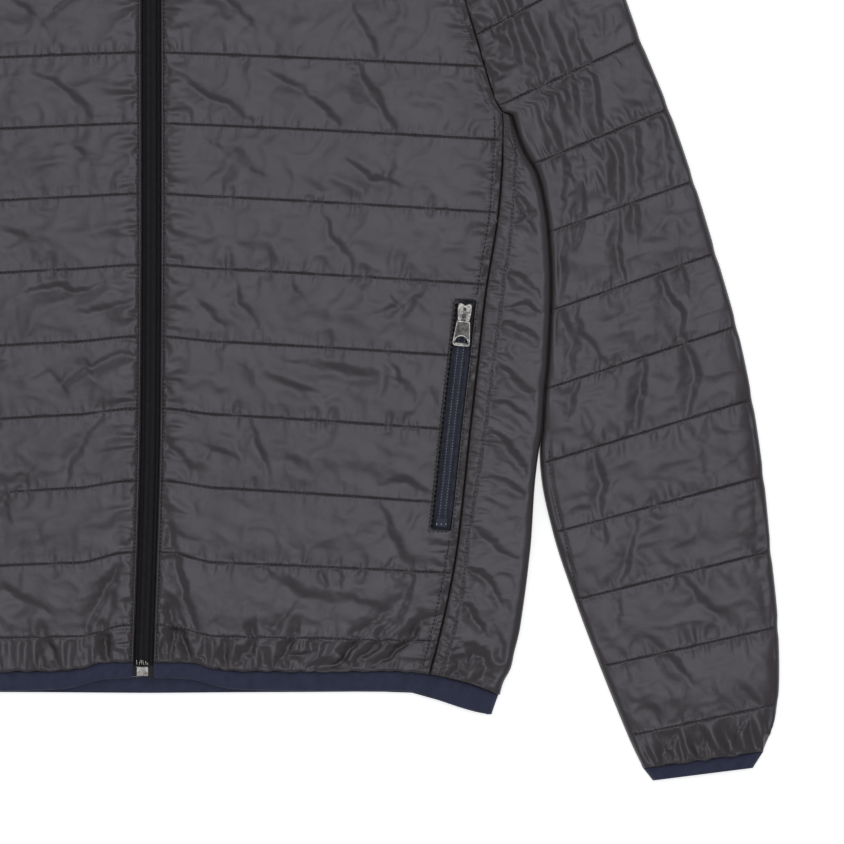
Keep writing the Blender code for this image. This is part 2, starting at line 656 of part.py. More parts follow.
def hem_binding():
    """Elastic strip along the whole hem, parted at the front zip."""
    across = (0.0, 0.5, 1.0)
    reach = 4.0
    steps = 30

    def half(side):
        """Rows of one half, from the zip round the side fold to the middle of the back."""
        start = ZIP_GAP / 2 + side * zip_middle_x(-325) + SEAM_GAP
        outer, inner = [], []

        def add_row(place_outer, place_inner):
            outer.append([place_outer(w) for w in across])
            inner.append([place_inner(w) for w in (across[0], across[-1])])

        def on_front(share, w, z):
            x = mix(start, mix(*HEM_FOLD_X, w) - reach, share)
            return (x, mix(hem_y(x) - SEAM_GAP, hem_free_y(x), w), z)

        def on_fold(points, w):
            x, z = points
            return (x, mix(hem_y(x) - SEAM_GAP, hem_free_y(x), w), z)

        def on_back(share, w, z):
            x = mix(mix(*HEM_FOLD_X, w) - reach, 0.0, share)
            return (x, mix(back_hem_y(x) - SEAM_GAP, back_hem_free_y(x), w), z)

        def top(w):
            return FLAT_TOP - (0.5 if w in (0.0, 1.0) else 0.0)

        for i in range(steps):
            share = i / steps
            add_row(lambda w: on_front(share, w, top(w)), lambda w: on_front(share, w, FRONT_UNDER))
        count = len(FOLD_ANGLES)
        for i in range(count):
            add_row(lambda w: on_fold(round_fold(mix(*HEM_FOLD_X, w), top(w), 0.0, reach)[i], w),
                    lambda w: on_fold(slot_fold(mix(*HEM_FOLD_X, w) - 3.0, count)[i], w))
        for i in range(1, steps + 1):
            share = i / steps
            add_row(lambda w: on_back(share, w, 0.0), lambda w: on_back(share, w, BACK_TOP))
        return to_side(outer, side), to_side(inner, side)

    return joined_halves("hem_binding", "binding", half)


def joined_halves(name, slot, half):
    """One wall from two halves, each listed from the zip to the middle of the back."""
    left_outer, left_inner = half(1)
    right_outer, right_inner = half(-1)
    return wall(name, slot, left_outer + right_outer[-2::-1], left_inner + right_inner[-2::-1])


def collar():
    """Stand collar: front halves parted at the zip, folded at the neck, and the back between."""
    base_a, base_b = NECK_HALF - NECK_GAP, NECK_DEPTH - NECK_GAP
    reach = 5.0
    back_steps = 8

    def lift_at(share):
        return puff(share * 2 % 1.0) if 0 < share < 1 else 0.0

    def fold_x(share):
        return base_a - COLLAR_LEAN * share + 3.0

    def fold_top(share):
        return mix(STITCHED_TOP, FOLD_TOP - 0.6, lift_at(share))

    def half(side):
        """Rows of one half, from the zip along the neckline to the middle of the back."""
        outer, inner = [], []
        edge = ZIP_GAP / 2 + side * zip_middle_x(280) + SEAM_GAP
        first = math.degrees(math.asin(edge / base_a))

        def add_row(place_outer, place_inner):
            outer.append([place_outer(share) for share in COLLAR_STEPS])
            inner.append([place_inner(share) for share in (0.0, 1.0)])

        def on_front(degrees, share, raised):
            turn = math.radians(degrees)
            x = max(edge, (base_a - COLLAR_LEAN * share) * math.sin(turn))
            y = SHOULDER_Y + share * COLLAR_HEIGHT - base_b * math.cos(turn)
            lift = lift_at(share) * smooth((x - edge + 2) / EDGE_FADE)
            return (x, y, mix(STITCHED_TOP, CROWN_TOP - 1.4, lift) if raised else FRONT_UNDER)

        def on_fold(point, share):
            return (point[0], SHOULDER_Y + SEAM_GAP + share * COLLAR_HEIGHT, point[1])

        def on_back(place, share, raised):
            x = mix(fold_x(share) - reach, 0.0, place)
            dip = BACK_NECK_DIP * (1 - (x / NECK_HALF) ** 2)
            top = mix(SHOULDER_Y + COLLAR_HEIGHT, BACK_COLLAR_TOP, smooth(place))
            y = mix(SHOULDER_Y + SEAM_GAP - dip, top, share)
            on_line = UNDER_GROOVE if share == 0.5 else 0.0
            return (x, y, on_line if raised else BACK_TOP)

        for degrees in [first] + [d for d in range(8, 81, 8) if d > first + 2]:
            add_row(lambda share: on_front(degrees, share, True),
                    lambda share: on_front(degrees, share, False))
        count = len(FOLD_ANGLES)
        for i in range(count):
            add_row(lambda share: on_fold(round_fold(fold_x(share), fold_top(share), 0.0, reach)[i], share),
                    lambda share: on_fold(slot_fold(fold_x(share) - WALL, count)[i], share))
        for i in range(1, back_steps + 1):
            add_row(lambda share: on_back(i / back_steps, share, True),
                    lambda share: on_back(i / back_steps, share, False))
        return to_side(outer, side), to_side(inner, side)

    return joined_halves("collar", "shell", half)


# ---------------------------------------------------------------- zips

def strip(name, slot, left_at, right_at, low, high, side, raised):
    """Zip tape between two edges, x of y, with the coil raised over part of its width.

    raised gives where the coil lies, as shares of the tape's width.
    """
    outer, inner = [], []
    steps = 10
    for i in range(steps + 1):
        y = mix(low, high, i / steps)
        left, right = left_at(y), right_at(y)
        row = [(left, y, TAPE_TOP if raised[0] > 0 else COIL_TOP)]
        for share, z in ((raised[0] - COIL_RAMP, TAPE_TOP), (raised[0], COIL_TOP),
                         (raised[1], COIL_TOP), (raised[1] + COIL_RAMP, TAPE_TOP)):
            if 0 < share < 1:
                row.append((mix(left, right, share), y, z))
        row.append((right, y, TAPE_TOP))
        outer.append(row)
        inner.append([(left, y, TAPE_UNDER), (right, y, TAPE_UNDER)])
    return wall(side_name(name, side), slot, to_side(outer, side), to_side(inner, side))


def front_zip(side):
    """Half of the front zip: its tape and its row of coil, up to the collar's edge."""
    width = ZIP_GAP / 2 - SEAM_GAP

    def middle(y):
        return side * zip_middle_x(y) + SEAM_GAP / 2

    return strip("front_zip", "zip_tape", middle, lambda y: middle(y) + width - SEAM_GAP / 2,
                 ZIP_BOTTOM, COLLAR_EDGE_Y - ZIP_BELOW_EDGE, side, (0.0, COIL_HALF / width))


def pocket_left_x(y):
    return front_seam_x(y) - POCKET_INSET - POCKET_WIDTH


def pocket_right_x(y):
    return front_seam_x(y) - POCKET_INSET


def pocket_zip(side):
    """Closed pocket zip: both tapes as one piece, with the coil raised along the middle."""
    share = COIL_HALF / POCKET_WIDTH
    return strip("pocket_zip", "pocket_tape", pocket_left_x, pocket_right_x,
                 POCKET_BOTTOM + 0.4, POCKET_TOP - 0.4, side, (0.5 - share, 0.5 + share))


def outline_mesh(outlines, layers):
    """Plate from flat outlines, the first its rim and the others holes.

    layers lists (height, scale) from the bottom to the top.
    """
    mesh = bmesh.new()
    edges = []
    for outline in outlines:
        verts = [mesh.verts.new((x * MM, y * MM, layers[0][0] * MM)) for x, y in outline]
        edges += [mesh.edges.new((verts[i - 1], verts[i])) for i in range(len(verts))]
    bmesh.ops.triangle_fill(mesh, edges=edges, use_beauty=True, use_dissolve=False)
    faces = mesh.faces[:]
    scale_before = layers[0][1]
    for (below, _), (height, scale) in zip(layers, layers[1:]):
        grown = bmesh.ops.extrude_face_region(mesh, geom=faces)["geom"]
        verts = [item for item in grown if isinstance(item, bmesh.types.BMVert)]
        old_faces = faces
        faces = [item for item in grown if isinstance(item, bmesh.types.BMFace)]
        if below != layers[0][0]:
            bmesh.ops.delete(mesh, geom=old_faces, context="FACES_ONLY")
        for vert in verts:
            vert.co.x *= scale / scale_before
            vert.co.y *= scale / scale_before
            vert.co.z = height * MM
        scale_before = scale
    return mesh


def both_halves(right_half):
    """Closed outline from the points of its right half, listed from one end to the other."""
    left_half = [(-x, y) for x, y in reversed(right_half) if x > 0]
    return list(right_half) + left_half


def zip_place(x, y, lean, side):
    """Where a slider's bar lies, with +Y along the zip towards its closed end."""
    height = SLIDER_UNDER + SLIDER_THICK + BAR_ABOVE_SLIDER
    turn = Matrix.Rotation(-side * lean, 4, "Z")
    return Matrix.Translation(Vector((side * x, y, height)) * MM) @ turn


def slider(name, place):
    """Slider body with the bail that holds the pull's bar."""
    low, high = -BAR_ABOVE_SLIDER - SLIDER_THICK, -BAR_ABOVE_SLIDER
    layers = [(low, 1.0), (mix(low, high, 0.6), 1.0), (high, 0.86)]
    body = finish_mesh(name, "metal", outline_mesh([both_halves(SLIDER_OUTLINE)], layers))
    foot = high - 0.5
    arc = [math.radians(180 * i / 10) for i in range(11)]
    profile = [(BAIL_OUTER, foot)]
    profile += [(BAIL_OUTER * math.cos(a), BAIL_OUTER * math.sin(a)) for a in arc]
    profile += [(-BAIL_OUTER, foot), (-BAIL_INNER, foot)]
    profile += [(BAIL_INNER * math.cos(a), BAIL_INNER * math.sin(a)) for a in reversed(arc)]
    profile += [(BAIL_INNER, foot)]
    layers = [(-BAIL_WIDTH / 2, 1.0), (BAIL_WIDTH / 2, 1.0)]
    bail = finish_mesh(name + "_bail_cutter", "metal", outline_mesh([profile], layers))
    upright = Matrix(((0, 0, 1, 0), (1, 0, 0, 0), (0, 1, 0, 0), (0, 0, 0, 1)))
    bail.data.transform(upright)
    bail.hide_render = True
    bail.display_type = "WIRE"
    union = body.modifiers.new("bail", "BOOLEAN")
    union.operation = "UNION"
    union.object = bail
    body.matrix_world = place
    bail.matrix_world = place


def pull(name, place):
    """Pull tab: a plate with a window at its bar and a half-moon hole near its free end."""
    half, top, bottom = PULL_WINDOW
    window = [(-half, top), (half, top), (half, bottom), (-half, bottom)]
    radius, flat_y = PULL_HOLE
    moon = [(radius * math.cos(a), flat_y + radius * math.sin(a))
            for a in (math.radians(180 * i / 10) for i in range(11))]
    layers = [(-PULL_THICK / 2, 1.0), (PULL_THICK / 2, 1.0)]
    plate = outline_mesh([both_halves(PULL_OUTLINE), window, moon], layers)
    tab = finish_mesh(name, "metal", plate)
    tab.matrix_world = place @ Matrix.Rotation(math.radians(PULL_TILT), 4, "X")


def block(name, slot, centre, size, lean=0.0):
    """Small block with its edges bevelled, standing at the given height."""
    mesh = bmesh.new()
    bmesh.ops.create_cube(mesh, size=MM)
    bmesh.ops.scale(mesh, vec=size, verts=mesh.verts[:])
    piece = finish_mesh(name, slot, mesh)
    bevel = piece.modifiers.new("edges", "BEVEL")
    bevel.width = BLOCK_BEVEL * MM
    bevel.segments = 2
    x, y, low = centre
    lift = Matrix.Translation(Vector((x, y, low + size[2] / 2)) * MM)
    piece.matrix_world = lift @ Matrix.Rotation(-lean, 4, "Z")


def front_zip_hardware():
    block("front_zip_box", "metal", ZIP_BOX_PLACE, ZIP_BOX_SIZE)
    height = COLLAR_EDGE_Y - SLIDER_BELOW_EDGE
    place = zip_place(zip_middle_x(height), height, 0.0, 1)
    slider("front_zip_slider", place)
    pull("front_zip_pull", place)


def pocket_hardware(side):
    """Slider and pull at the top of the pocket zip, and the stop at its bottom."""
    def middle(y):
        return (pocket_left_x(y) + pocket_right_x(y)) / 2

    lean = math.atan2(middle(POCKET_TOP) - middle(POCKET_BOTTOM), POCKET_TOP - POCKET_BOTTOM)
    height = POCKET_TOP - POCKET_SLIDER_DOWN
    place = zip_place(middle(height), height, lean, side)
    slider(side_name("pocket_slider", side), place)
    pull(side_name("pocket_pull", side), place)
    stop_y = POCKET_BOTTOM + POCKET_STOP_UP
    centre = (side * middle(stop_y), stop_y, COIL_TOP + 0.3)
    block(side_name("pocket_stop", side), "binding", centre, STOP_SIZE, side * lean)


# ---------------------------------------------------------------- the jacket

def clear_scene():
    for old in list(bpy.data.objects):
        bpy.data.objects.remove(old, do_unlink=True)


def main():
    clear_scene()
    back_panel()
    collar()
    hem_binding()
    front_zip_hardware()
    for side in (1, -1):
        front_panel(side)
        side_panel(side)
        sleeve(side)
        cuff_binding(side)
        front_zip(side)
        pocket_zip(side)
        pocket_hardware(side)


main()
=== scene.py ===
"""Looks of a light quilted jacket that lies flat and face up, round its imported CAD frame.

Sizes are in millimetres, in the frame's axes: +X is the wearer's left, +Y points to the
collar, and the jacket rests on z = 0. MM turns them into Blender's metres.

Each cloth piece is a grid of points. The grid starts on the plain quilted form, takes the
main creases from short tables, and is then wrinkled: the cloth is a little longer than the
form that it lies on, is held at its stitching and seams, and buckles against its padding.
"""
import math

import bmesh
import bpy
import numpy as np
from mathutils import Matrix, Vector
from mathutils.bvhtree import BVHTree


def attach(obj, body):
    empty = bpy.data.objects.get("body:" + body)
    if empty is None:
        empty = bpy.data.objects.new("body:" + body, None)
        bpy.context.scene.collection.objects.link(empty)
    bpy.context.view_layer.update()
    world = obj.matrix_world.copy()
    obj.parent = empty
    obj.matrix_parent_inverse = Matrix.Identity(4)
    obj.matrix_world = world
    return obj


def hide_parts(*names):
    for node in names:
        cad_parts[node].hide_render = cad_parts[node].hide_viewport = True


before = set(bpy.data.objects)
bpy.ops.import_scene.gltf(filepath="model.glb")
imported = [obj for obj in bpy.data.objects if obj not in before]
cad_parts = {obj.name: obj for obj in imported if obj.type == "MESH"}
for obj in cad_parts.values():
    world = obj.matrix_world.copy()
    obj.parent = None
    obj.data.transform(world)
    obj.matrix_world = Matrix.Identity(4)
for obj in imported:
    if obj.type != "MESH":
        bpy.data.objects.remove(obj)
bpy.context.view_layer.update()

MM = 0.001
BODY = "jacket"
SIDE_NAMES = {1: "left", -1: "right"}   # the wearer's; side 1 lies at +X

# ---------------------------------------------------------------- sizes shared with the CAD model

FRONT_UNDER = 4.9       # inner face of the front layer
BACK_TOP = 4.5          # inner face of the back layer
LINE_TOP = 9.5          # cloth beside a stitched line
CROWN_TOP = 11.1        # cloth between two stitched lines
FOLD_TOP = 10.2         # cloth where it starts to turn round a folded edge
UNDER_GROOVE = 1.1      # depth of a stitched line on the side that rests
UNDER_Z = 0.05          # height of that side
SEAM_GAP = 0.4          # between two pieces at a seam
QUILT_PITCH = 46.6      # from one stitched line to the next
QUILT_TOP_LINE = 310.0  # highest line at the front zip
QUILT_LINES = 14
QUILT_DROP = 11.4       # how far the highest line of the back lies below that of the front
QUILT_SHAPE = [  # height of a front line in the CAD model, its lift, step near the zip, fall to the side
    (-295.8, 0.4, 6.8, 3.6), (-249.2, 1.2, 5.5, 7.2), (-202.6, 1.1, 2.9, 10.7),
    (-109.4, 1.6, 1.6, 9.6), (-16.2, 1.2, 0.3, 9.0), (77.0, 0.0, 0.0, 7.3), (310.0, 0.0, 0.0, 7.3),
]
QUILT_LOWEST = QUILT_TOP_LINE - QUILT_PITCH * (QUILT_LINES - 1)
NECK_HALF = 94.0
SHOULDER_Y = 329.0      # where the shoulder seam meets the neck
NECK_DEPTH = 77.0       # front neckline below that point
BACK_NECK_DIP = 12.0
UNDERARM_Y = 38.0
SHOULDER_POINT = (226.0, 264.0)     # outer end of the shoulder seam
BACK_FLANGE = 34.0      # width of the side panel that lies under the body
UNDERARM_FLANGE = 4.5   # the same at the underarm
FLANGE_TAPER = 83.0     # distance below the underarm over which it narrows
SIDE_BOTTOM = -341.0    # where the side fold meets the hem
HEM_FOLD_X = (228.6, 224.0)         # folded edge of the hem binding, at its seam and free edge
ZIP_GAP = 13.0          # between the two front edges
POCKET_TOP = -84.5
POCKET_BOTTOM = -233.5
POCKET_WIDTH = 13.6
POCKET_INSET = 5.0      # from the side seam to the pocket zip's opening
POCKET_SLIDER_DOWN = 7.8            # middle of the slider below the opening's top
COLLAR_HEIGHT = 67.0
COLLAR_LEAN = 8.0       # how far the collar's folded edge leans in
BACK_COLLAR_TOP = 391.0
BODY_FOLD_OUT = 0.3     # how far the cloth stands out past the body's folded side
BODY_FOLD_MIDDLE = 6.6  # height at which the body's fold reaches furthest out
SLEEVE_FOLD_MIDDLE = 3.2            # the same for the sleeve's fold beside the body
SCALLOP = 0.5           # how far a stitched line draws the sleeve's outer edge in
CLOSE_SEAM = 0.03       # between a binding and the cloth that it is sewn to

FRONT_SEAM = [  # y, x of the front panel's side seam and armhole, from hem to shoulder
    (-345, 180.5), (-326, 183.5), (-313, 187), (-279, 195), (-246, 201), (-205, 205.8),
    (-168, 209.6), (-125, 214.6), (-79, 219.8), (-32, 227.4), (0, 230.2), (25, 231.2),
    (38, 230.6), (46, 226.2), (66, 219.8), (88, 213.3), (111, 206.7), (140, 201),
    (170, 198.4), (205, 200.5), (240, 212), (264, 226),
]
SIDE_FOLD = [  # y, x of the folded side edge of the body
    (-341, 229), (-333, 231.5), (-324, 236), (-313, 238.6), (-296, 242.5), (-246, 249),
    (-205, 251.8), (-187, 253.8), (-168, 256.8), (-143, 258.3), (-125, 260.2), (-79, 262.2),
    (-50, 261.3), (-21, 258), (-1, 252.8), (11, 246), (25, 240), (38, 236),
]
SIDE_STITCH = [  # y, x of the dotted line of stitching on the side panel
    (-328, 191), (-313, 195.7), (-299, 199.6), (-279, 204.1), (-246, 208), (-227, 210.6),
    (-199, 215.2), (-178, 218.4), (-149, 222.3), (-121, 225.6), (-94, 229.5), (-71, 232.1),
    (-50, 235.3), (-32, 237.3), (-16, 238.6), (2, 239.2), (11, 239.9), (29, 237.3), (38, 235.4),
]
HEM = [  # x, y of the front hem seam, y of the front binding's free edge
    (0, -319, -329.8), (30, -319.2, -331), (42, -322.4, -334.2), (54, -324.5, -336.8),
    (100, -325, -338.2), (171, -325.2, -338.6), (186, -327.5, -343), (206, -332, -349.6),
    (218, -336, -352.6), (229, -340.4, -353.8),
]
BACK_HEM = [  # x, y of the back hem seam, y of the back binding's free edge
    (0, -329, -339.4), (100, -327, -338.8), (171, -326, -339.2), (186, -327.6, -343),
    (206, -332, -349.6), (218, -336, -352.6), (229, -340.4, -353.8),
]
SLEEVE_LINES = [  # inner_x, inner_y, outer_x, outer_y of each stitched line
    (222.0, 255.0, 229.5, 259.5), (211.0, 230.0, 237.0, 246.0), (202.0, 178.0, 257.4, 218.4),
    (204.8, 134.0, 280.2, 180.0), (214.0, 88.0, 302.3, 136.0), (235.3, 42.3, 321.1, 85.2),
    (249.0, 4.0, 339.3, 40.6), (260.7, -40.0, 355.6, -6.5), (262.0, -91.0, 369.9, -53.3),
    (259.4, -142.0, 383.5, -100.8), (255.5, -190.5, 393.6, -148.2), (263.9, -235.3, 401.0, -198.3),
    (278.2, -278.9, 405.8, -247.0), (294.5, -322.4, 410.5, -296.4), (312.7, -367.3, 410.2, -346.5),
    (322.4, -388.0, 401.0, -377.2),
]
CUFF_FREE_EDGE = ((329.0, -396.4), (394.0, -388.2))
SLEEVE_SEAM = [  # y, distance of the sleeve's seam from its inner fold
    (-300, 0.4), (-290, 1.2), (-272, 3.0), (-255, 5.2), (-229, 6.8), (-189, 6.2), (-160, 6.0),
]
ZIP_LEAN = [(-340, -2.9), (-318, -2.3), (-170, 2.0), (111, 2.6), (420, 0.8)]
LAMP_SIDE = (0.9, 0.43)  # where the main light comes from, seen from above

# ---------------------------------------------------------------- creases listed one by one

# Each crease: depth (negative for a ridge), half width, then its points x, y
LEFT_CREASES = [
    (1.0, 3.2, (135, 105), (144, 88), (149.5, 75)),
    (1.7, 4.2, (137, 69), (147, 50), (160, 29)),
    (1.0, 3.0, (23, 62), (36, 50), (49, 46), (69, 31)),
    (0.9, 2.8, (79, 64), (102, 53)),
    (1.1, 3.4, (102, 51), (112, 44), (123, 32.5)),
    (1.2, 8.0, (50, 14), (57, 10), (66, 4)),
    (1.2, 3.4, (132, 6.5), (145, -4), (156, -6), (160, 5)),
    (1.0, 2.8, (114, -27), (120, -42), (132, -57)),
    (0.9, 2.6, (58.5, -71), (60.5, -84.5), (71, -99)),
    (0.9, 2.6, (34, -84.5), (40, -90), (48, -99)),
    (0.8, 2.6, (92, -69), (102, -83)),
    (1.2, 3.6, (149.5, -92), (163, -89), (172, -83), (163, -102)),
    (0.9, 3.0, (156, -122), (167, -139)),
    (1.5, 7.0, (102, -125), (130, -131), (155, -134)),
    (1.0, 3.6, (81, -134), (96, -140), (110.5, -144)),
    (1.0, 3.0, (67, -163), (72, -178), (79, -194)),
    (0.8, 3.0, (41, -179), (57, -186)),
    (1.0, 3.4, (9, -174), (17, -180), (25, -188)),
    (2.0, 3.6, (12, -214), (19, -250), (25, -276), (32, -298)),
    (1.6, 4.0, (15, -277), (21, -284), (23, -296)),
    (2.4, 2.6, (14.7, -279), (18.2, -292), (18.7, -303), (15.6, -320)),
    (2.2, 2.4, (22.7, -292), (24.7, -304), (28.6, -320)),
    (1.6, 8.0, (84.5, -263), (101, -275), (132, -279)),
    (1.2, 4.0, (94, -284), (79, -303)),
    (1.2, 4.6, (155, -222), (160, -238), (168, -254)),
    (1.0, 3.6, (155, -203), (167, -201), (179, -207)),
    (1.4, 1.8, (51.5, -307), (51.3, -323)),
    (1.6, 1.8, (69.9, -292), (69.9, -307)),
    (1.4, 2.2, (60, -320), (67, -314), (71, -307)),
    (1.8, 2.2, (88, -317), (96, -306.5), (98.5, -297)),
    (1.2, 2.0, (90, -315), (99, -313), (108, -312)),
    (1.0, 2.2, (101, -323.5), (110, -320.5), (119, -318)),
    (2.2, 2.4, (110, -323.5), (127.4, -317), (137, -308), (143.5, -299)),
    (1.6, 2.2, (133, -324), (141, -317), (152, -308), (154, -300)),
    (2.2, 2.2, (147, -322), (160, -315), (168, -308), (174.5, -303.5), (176, -298), (180, -291.5),
     (186, -289)),
    (1.5, 3.4, (138, -300), (152, -291.7), (161, -284)),
    (1.7, 4.6, (154, -301), (160, -294), (166, -284), (170, -272), (171.5, -262)),
    (1.0, 1.8, (115, -258), (115.5, -271)),
    (1.0, 1.8, (125, -259), (126, -268)),
    (1.2, 2.4, (12, -317), (11, -305)),
]
RIGHT_CREASES = [
    (1.7, 3.6, (-75, -77), (-55, -74), (-46, -79), (-34.5, -74)),
    (1.1, 3.0, (-62, -132), (-55, -139), (-38, -128), (-17, -118)),
    (1.0, 3.4, (-96, -36), (-76, -45)),
    (0.8, 2.8, (-48, 17), (-38, 8)),
    (1.0, 3.0, (-45, -92), (-31, -90), (-19, -87)),
    (1.9, 3.6, (-38, -298), (-30, -280), (-19, -261)),
    (1.3, 3.0, (-25, -292.5), (-22, -276), (-20, -261)),
    (2.3, 2.6, (-27, -296), (-25, -308), (-24, -320)),
    (1.3, 4.6, (-96, -268), (-82, -278), (-68, -284)),
    (1.6, 3.0, (-66, -300), (-62, -310), (-58.5, -320)),
    (1.2, 3.6, (-70, 62), (-52, 54), (-40, 40)),
    (1.0, 3.4, (-88, 112), (-70, 98)),
    (1.0, 3.2, (-30, -160), (-48, -186), (-52, -204)),
    (1.1, 5.0, (-76, -196), (-92, -214), (-110, -220)),
]
HIDDEN_CREASES = [  # the same on the parts of the front that are out of the close-up
    (1.3, 5.0, (60, 210), (78, 196), (96, 176)), (1.3, 4.2, (120, 150), (136, 136), (150, 116)),
    (1.1, 4.0, (40, 118), (54, 110), (66, 98)), (1.4, 4.8, (150, 236), (166, 226), (178, 212)),
    (1.0, 3.6, (30, 180), (38, 164), (40, 150)), (1.1, 3.6, (100, 240), (112, 226), (128, 220)),
    (1.0, 3.4, (172, 160), (182, 142), (186, 126)), (1.2, 5.0, (112, 300), (130, 288), (152, 280)),
]
SLEEVE_CREASES = [
    (1.6, 4.2, (226, 118), (236, 92), (243, 62)),
    (1.8, 4.8, (240, 112), (256, 76), (262, 44)),
    (1.4, 4.0, (262, 100), (276, 62), (280, 36)),
    (1.3, 3.6, (282, 84), (292, 52), (296, 14)),
    (1.3, 3.0, (307.8, 12), (307.5, -2), (307.2, -23)),
    (1.4, 3.8, (318, 36), (319, 14), (320.2, -15)),
    (1.0, 3.0, (283, -12), (284.2, -31)),
    (1.2, 3.6, (262, 30), (272, 4), (270, -24)),
    (1.6, 5.0, (273, -38), (269, -56), (270.5, -66), (265.5, -87)),
    (1.2, 2.6, (282.8, -31), (280.4, -47)),
    (1.5, 2.4, (307.2, -36), (306.5, -56), (310.3, -68)),
    (1.0, 3.0, (317.8, -22), (319, -43)),
    (1.1, 3.8, (330, 62), (338, 22), (341, -20)),
    (1.2, 3.0, (343.9, -62), (350.7, -71), (351.9, -82)),
    (1.5, 3.6, (333.9, -66), (338.9, -81), (348.9, -93), (345.2, -109)),
    (1.1, 3.4, (279.2, -88), (281.7, -104.5), (294.1, -119)),
    (1.6, 5.4, (269.2, -91), (278, -111), (275.5, -132)),
    (1.8, 2.8, (324, -125), (321.5, -146), (318.4, -163)),
    (1.7, 3.2, (349.4, -110), (356.3, -124), (357.5, -136), (351.3, -158)),
    (1.3, 3.4, (280.4, -137), (273, -160)),
    (0.9, 2.6, (300, -128), (304, -137)),
    (1.3, 3.4, (290.6, -183), (298, -203.5), (292.5, -224)),
    (1.0, 3.0, (298, -229.5), (298, -242)),
    (1.3, 3.6, (317, -233), (313, -254), (308, -265)),
    (0.9, 3.0, (308, -277), (306, -292.5)),
    (1.2, 4.6, (397, -198), (399, -247), (404, -296)),
    (1.0, 3.6, (352, -268), (362, -280), (372, -290)),
    (1.2, 3.6, (330, -306), (342, -318), (352, -330)),
    (1.4, 4.0, (226, 190), (238, 176), (246, 150)),
    (1.8, 2.4, (336, -386), (340, -372), (348, -358)),
    (1.7, 2.4, (356, -384), (362, -370), (360, -356)),
    (1.7, 2.4, (378, -381), (382, -366), (392, -354)),
]
SIDE_CREASES = [
    (1.1, 4.0, (228, -125), (238, -134), (252, -149)),
    (1.0, 3.0, (229, -99), (240, -101), (251, -106)),
    (1.3, 4.6, (227, -170), (238, -184), (250, -198)),
    (0.9, 3.4, (224, -149), (236, -152), (246, -160)),
    (1.0, 3.4, (222, -200), (236, -203), (246, -211)),
    (0.9, 3.2, (234, -66), (243, -68), (252, -78)),
    (1.0, 3.0, (238, -34), (246, -31), (255, -25)),
    (0.9, 2.8, (240, -12), (246, -22), (249, -34)),
    (1.0, 3.0, (236, -88), (246, -86), (256, -92)),
    (1.3, 2.6, (204, -258), (215.4, -259.4), (220.7, -264), (229, -279)),
    (1.0, 3.4, (214, -232), (226, -244), (238, -250)),
    (1.3, 2.6, (204, -280.5), (208.7, -283), (217, -295), (221, -300)),
    (1.6, 4.6, (203, -310), (212.4, -309), (219, -315), (223, -329)),
    (1.2, 2.8, (197, -325), (202, -323), (211, -317)),
    (0.9, 3.4, (226, -296), (231, -308), (232, -322)),
]

# ---------------------------------------------------------------- numbers and curves


def mix(low, high, share):
    return low + (high - low) * share


def smooth(value):
    value = np.clip(value, 0.0, 1.0)
    return value * value * (3.0 - 2.0 * value)


def rise(distance, reach):
    """0 at a held line, growing quickly to 1 away from it."""
    return 1.0 - np.exp(-np.maximum(distance, 0.0) / reach)


def fade(distance, reach):
    """1 at a held line, falling to 0 away from it."""
    return np.exp(-distance / reach)


def pressed(distance, half_width):
    """1 on a line of stitching, 0 a little away from it."""
    return np.exp(-(distance / half_width) ** 2)


def patchy(field, spread, low=0.1, high=2.2, middle=1.0):
    """A share that wanders about its middle with a random field."""
    return np.clip(middle + spread * field, low, high)


def length_along(points, axis=0):
    """Distance of each point from the start of its line, along one axis of a grid."""
    steps = np.linalg.norm(np.diff(points, axis=axis), axis=-1)
    return np.insert(np.cumsum(steps, axis=axis), 0, 0.0, axis=axis)


def per_row(values, x):
    """One value for each row of a grid, shaped to go with x, one place a row or many."""
    return values[(slice(None),) + (None,) * (np.ndim(x) - 1)]


def nearest(values, wanted):
    return int(np.argmin(np.abs(values - wanted)))


def on_side(side, number):
    """A seed of the left side, and the next number on the right."""
    return number if side > 0 else number + 1


def puff(distance):
    """Height of the padding by the distance from a stitched line: a short step, then a slow swell."""
    return 0.20 * rise(distance, 0.5) + 0.80 * rise(distance, 14.0)


def curve(rows, column=1):
    """A smooth function of a table's first column that passes through the given column."""
    rows = sorted(rows)
    keys = np.array([row[0] for row in rows], float)
    values = np.array([row[column] for row in rows], float)
    order = np.arange(len(keys))
    low = np.maximum(order - 1, 0)
    high = np.minimum(order + 1, len(keys) - 1)
    slopes = (values[high] - values[low]) / (keys[high] - keys[low])

    def at(key):
        key = np.clip(key, keys[0], keys[-1])
        i = np.clip(np.searchsorted(keys, key, side="right") - 1, 0, len(keys) - 2)
        span = keys[i + 1] - keys[i]
        t = (key - keys[i]) / span
        return ((2 * t**3 - 3 * t**2 + 1) * values[i] + (t**3 - 2 * t**2 + t) * span * slopes[i]
                + (3 * t**2 - 2 * t**3) * values[i + 1] + (t**3 - t**2) * span * slopes[i + 1])
    return at


front_seam_x = curve(FRONT_SEAM)
side_fold_x = curve(SIDE_FOLD)
side_stitch_x = curve(SIDE_STITCH)
hem_y = curve(HEM)
hem_free_y = curve(HEM, 2)
back_hem_y = curve(BACK_HEM)
back_hem_free_y = curve(BACK_HEM, 2)
zip_middle_x = curve(ZIP_LEAN)
sleeve_seam_u = curve(SLEEVE_SEAM)
quilt_lift = curve(QUILT_SHAPE)
quilt_step = curve(QUILT_SHAPE, 2)
quilt_fall = curve(QUILT_SHAPE, 3)


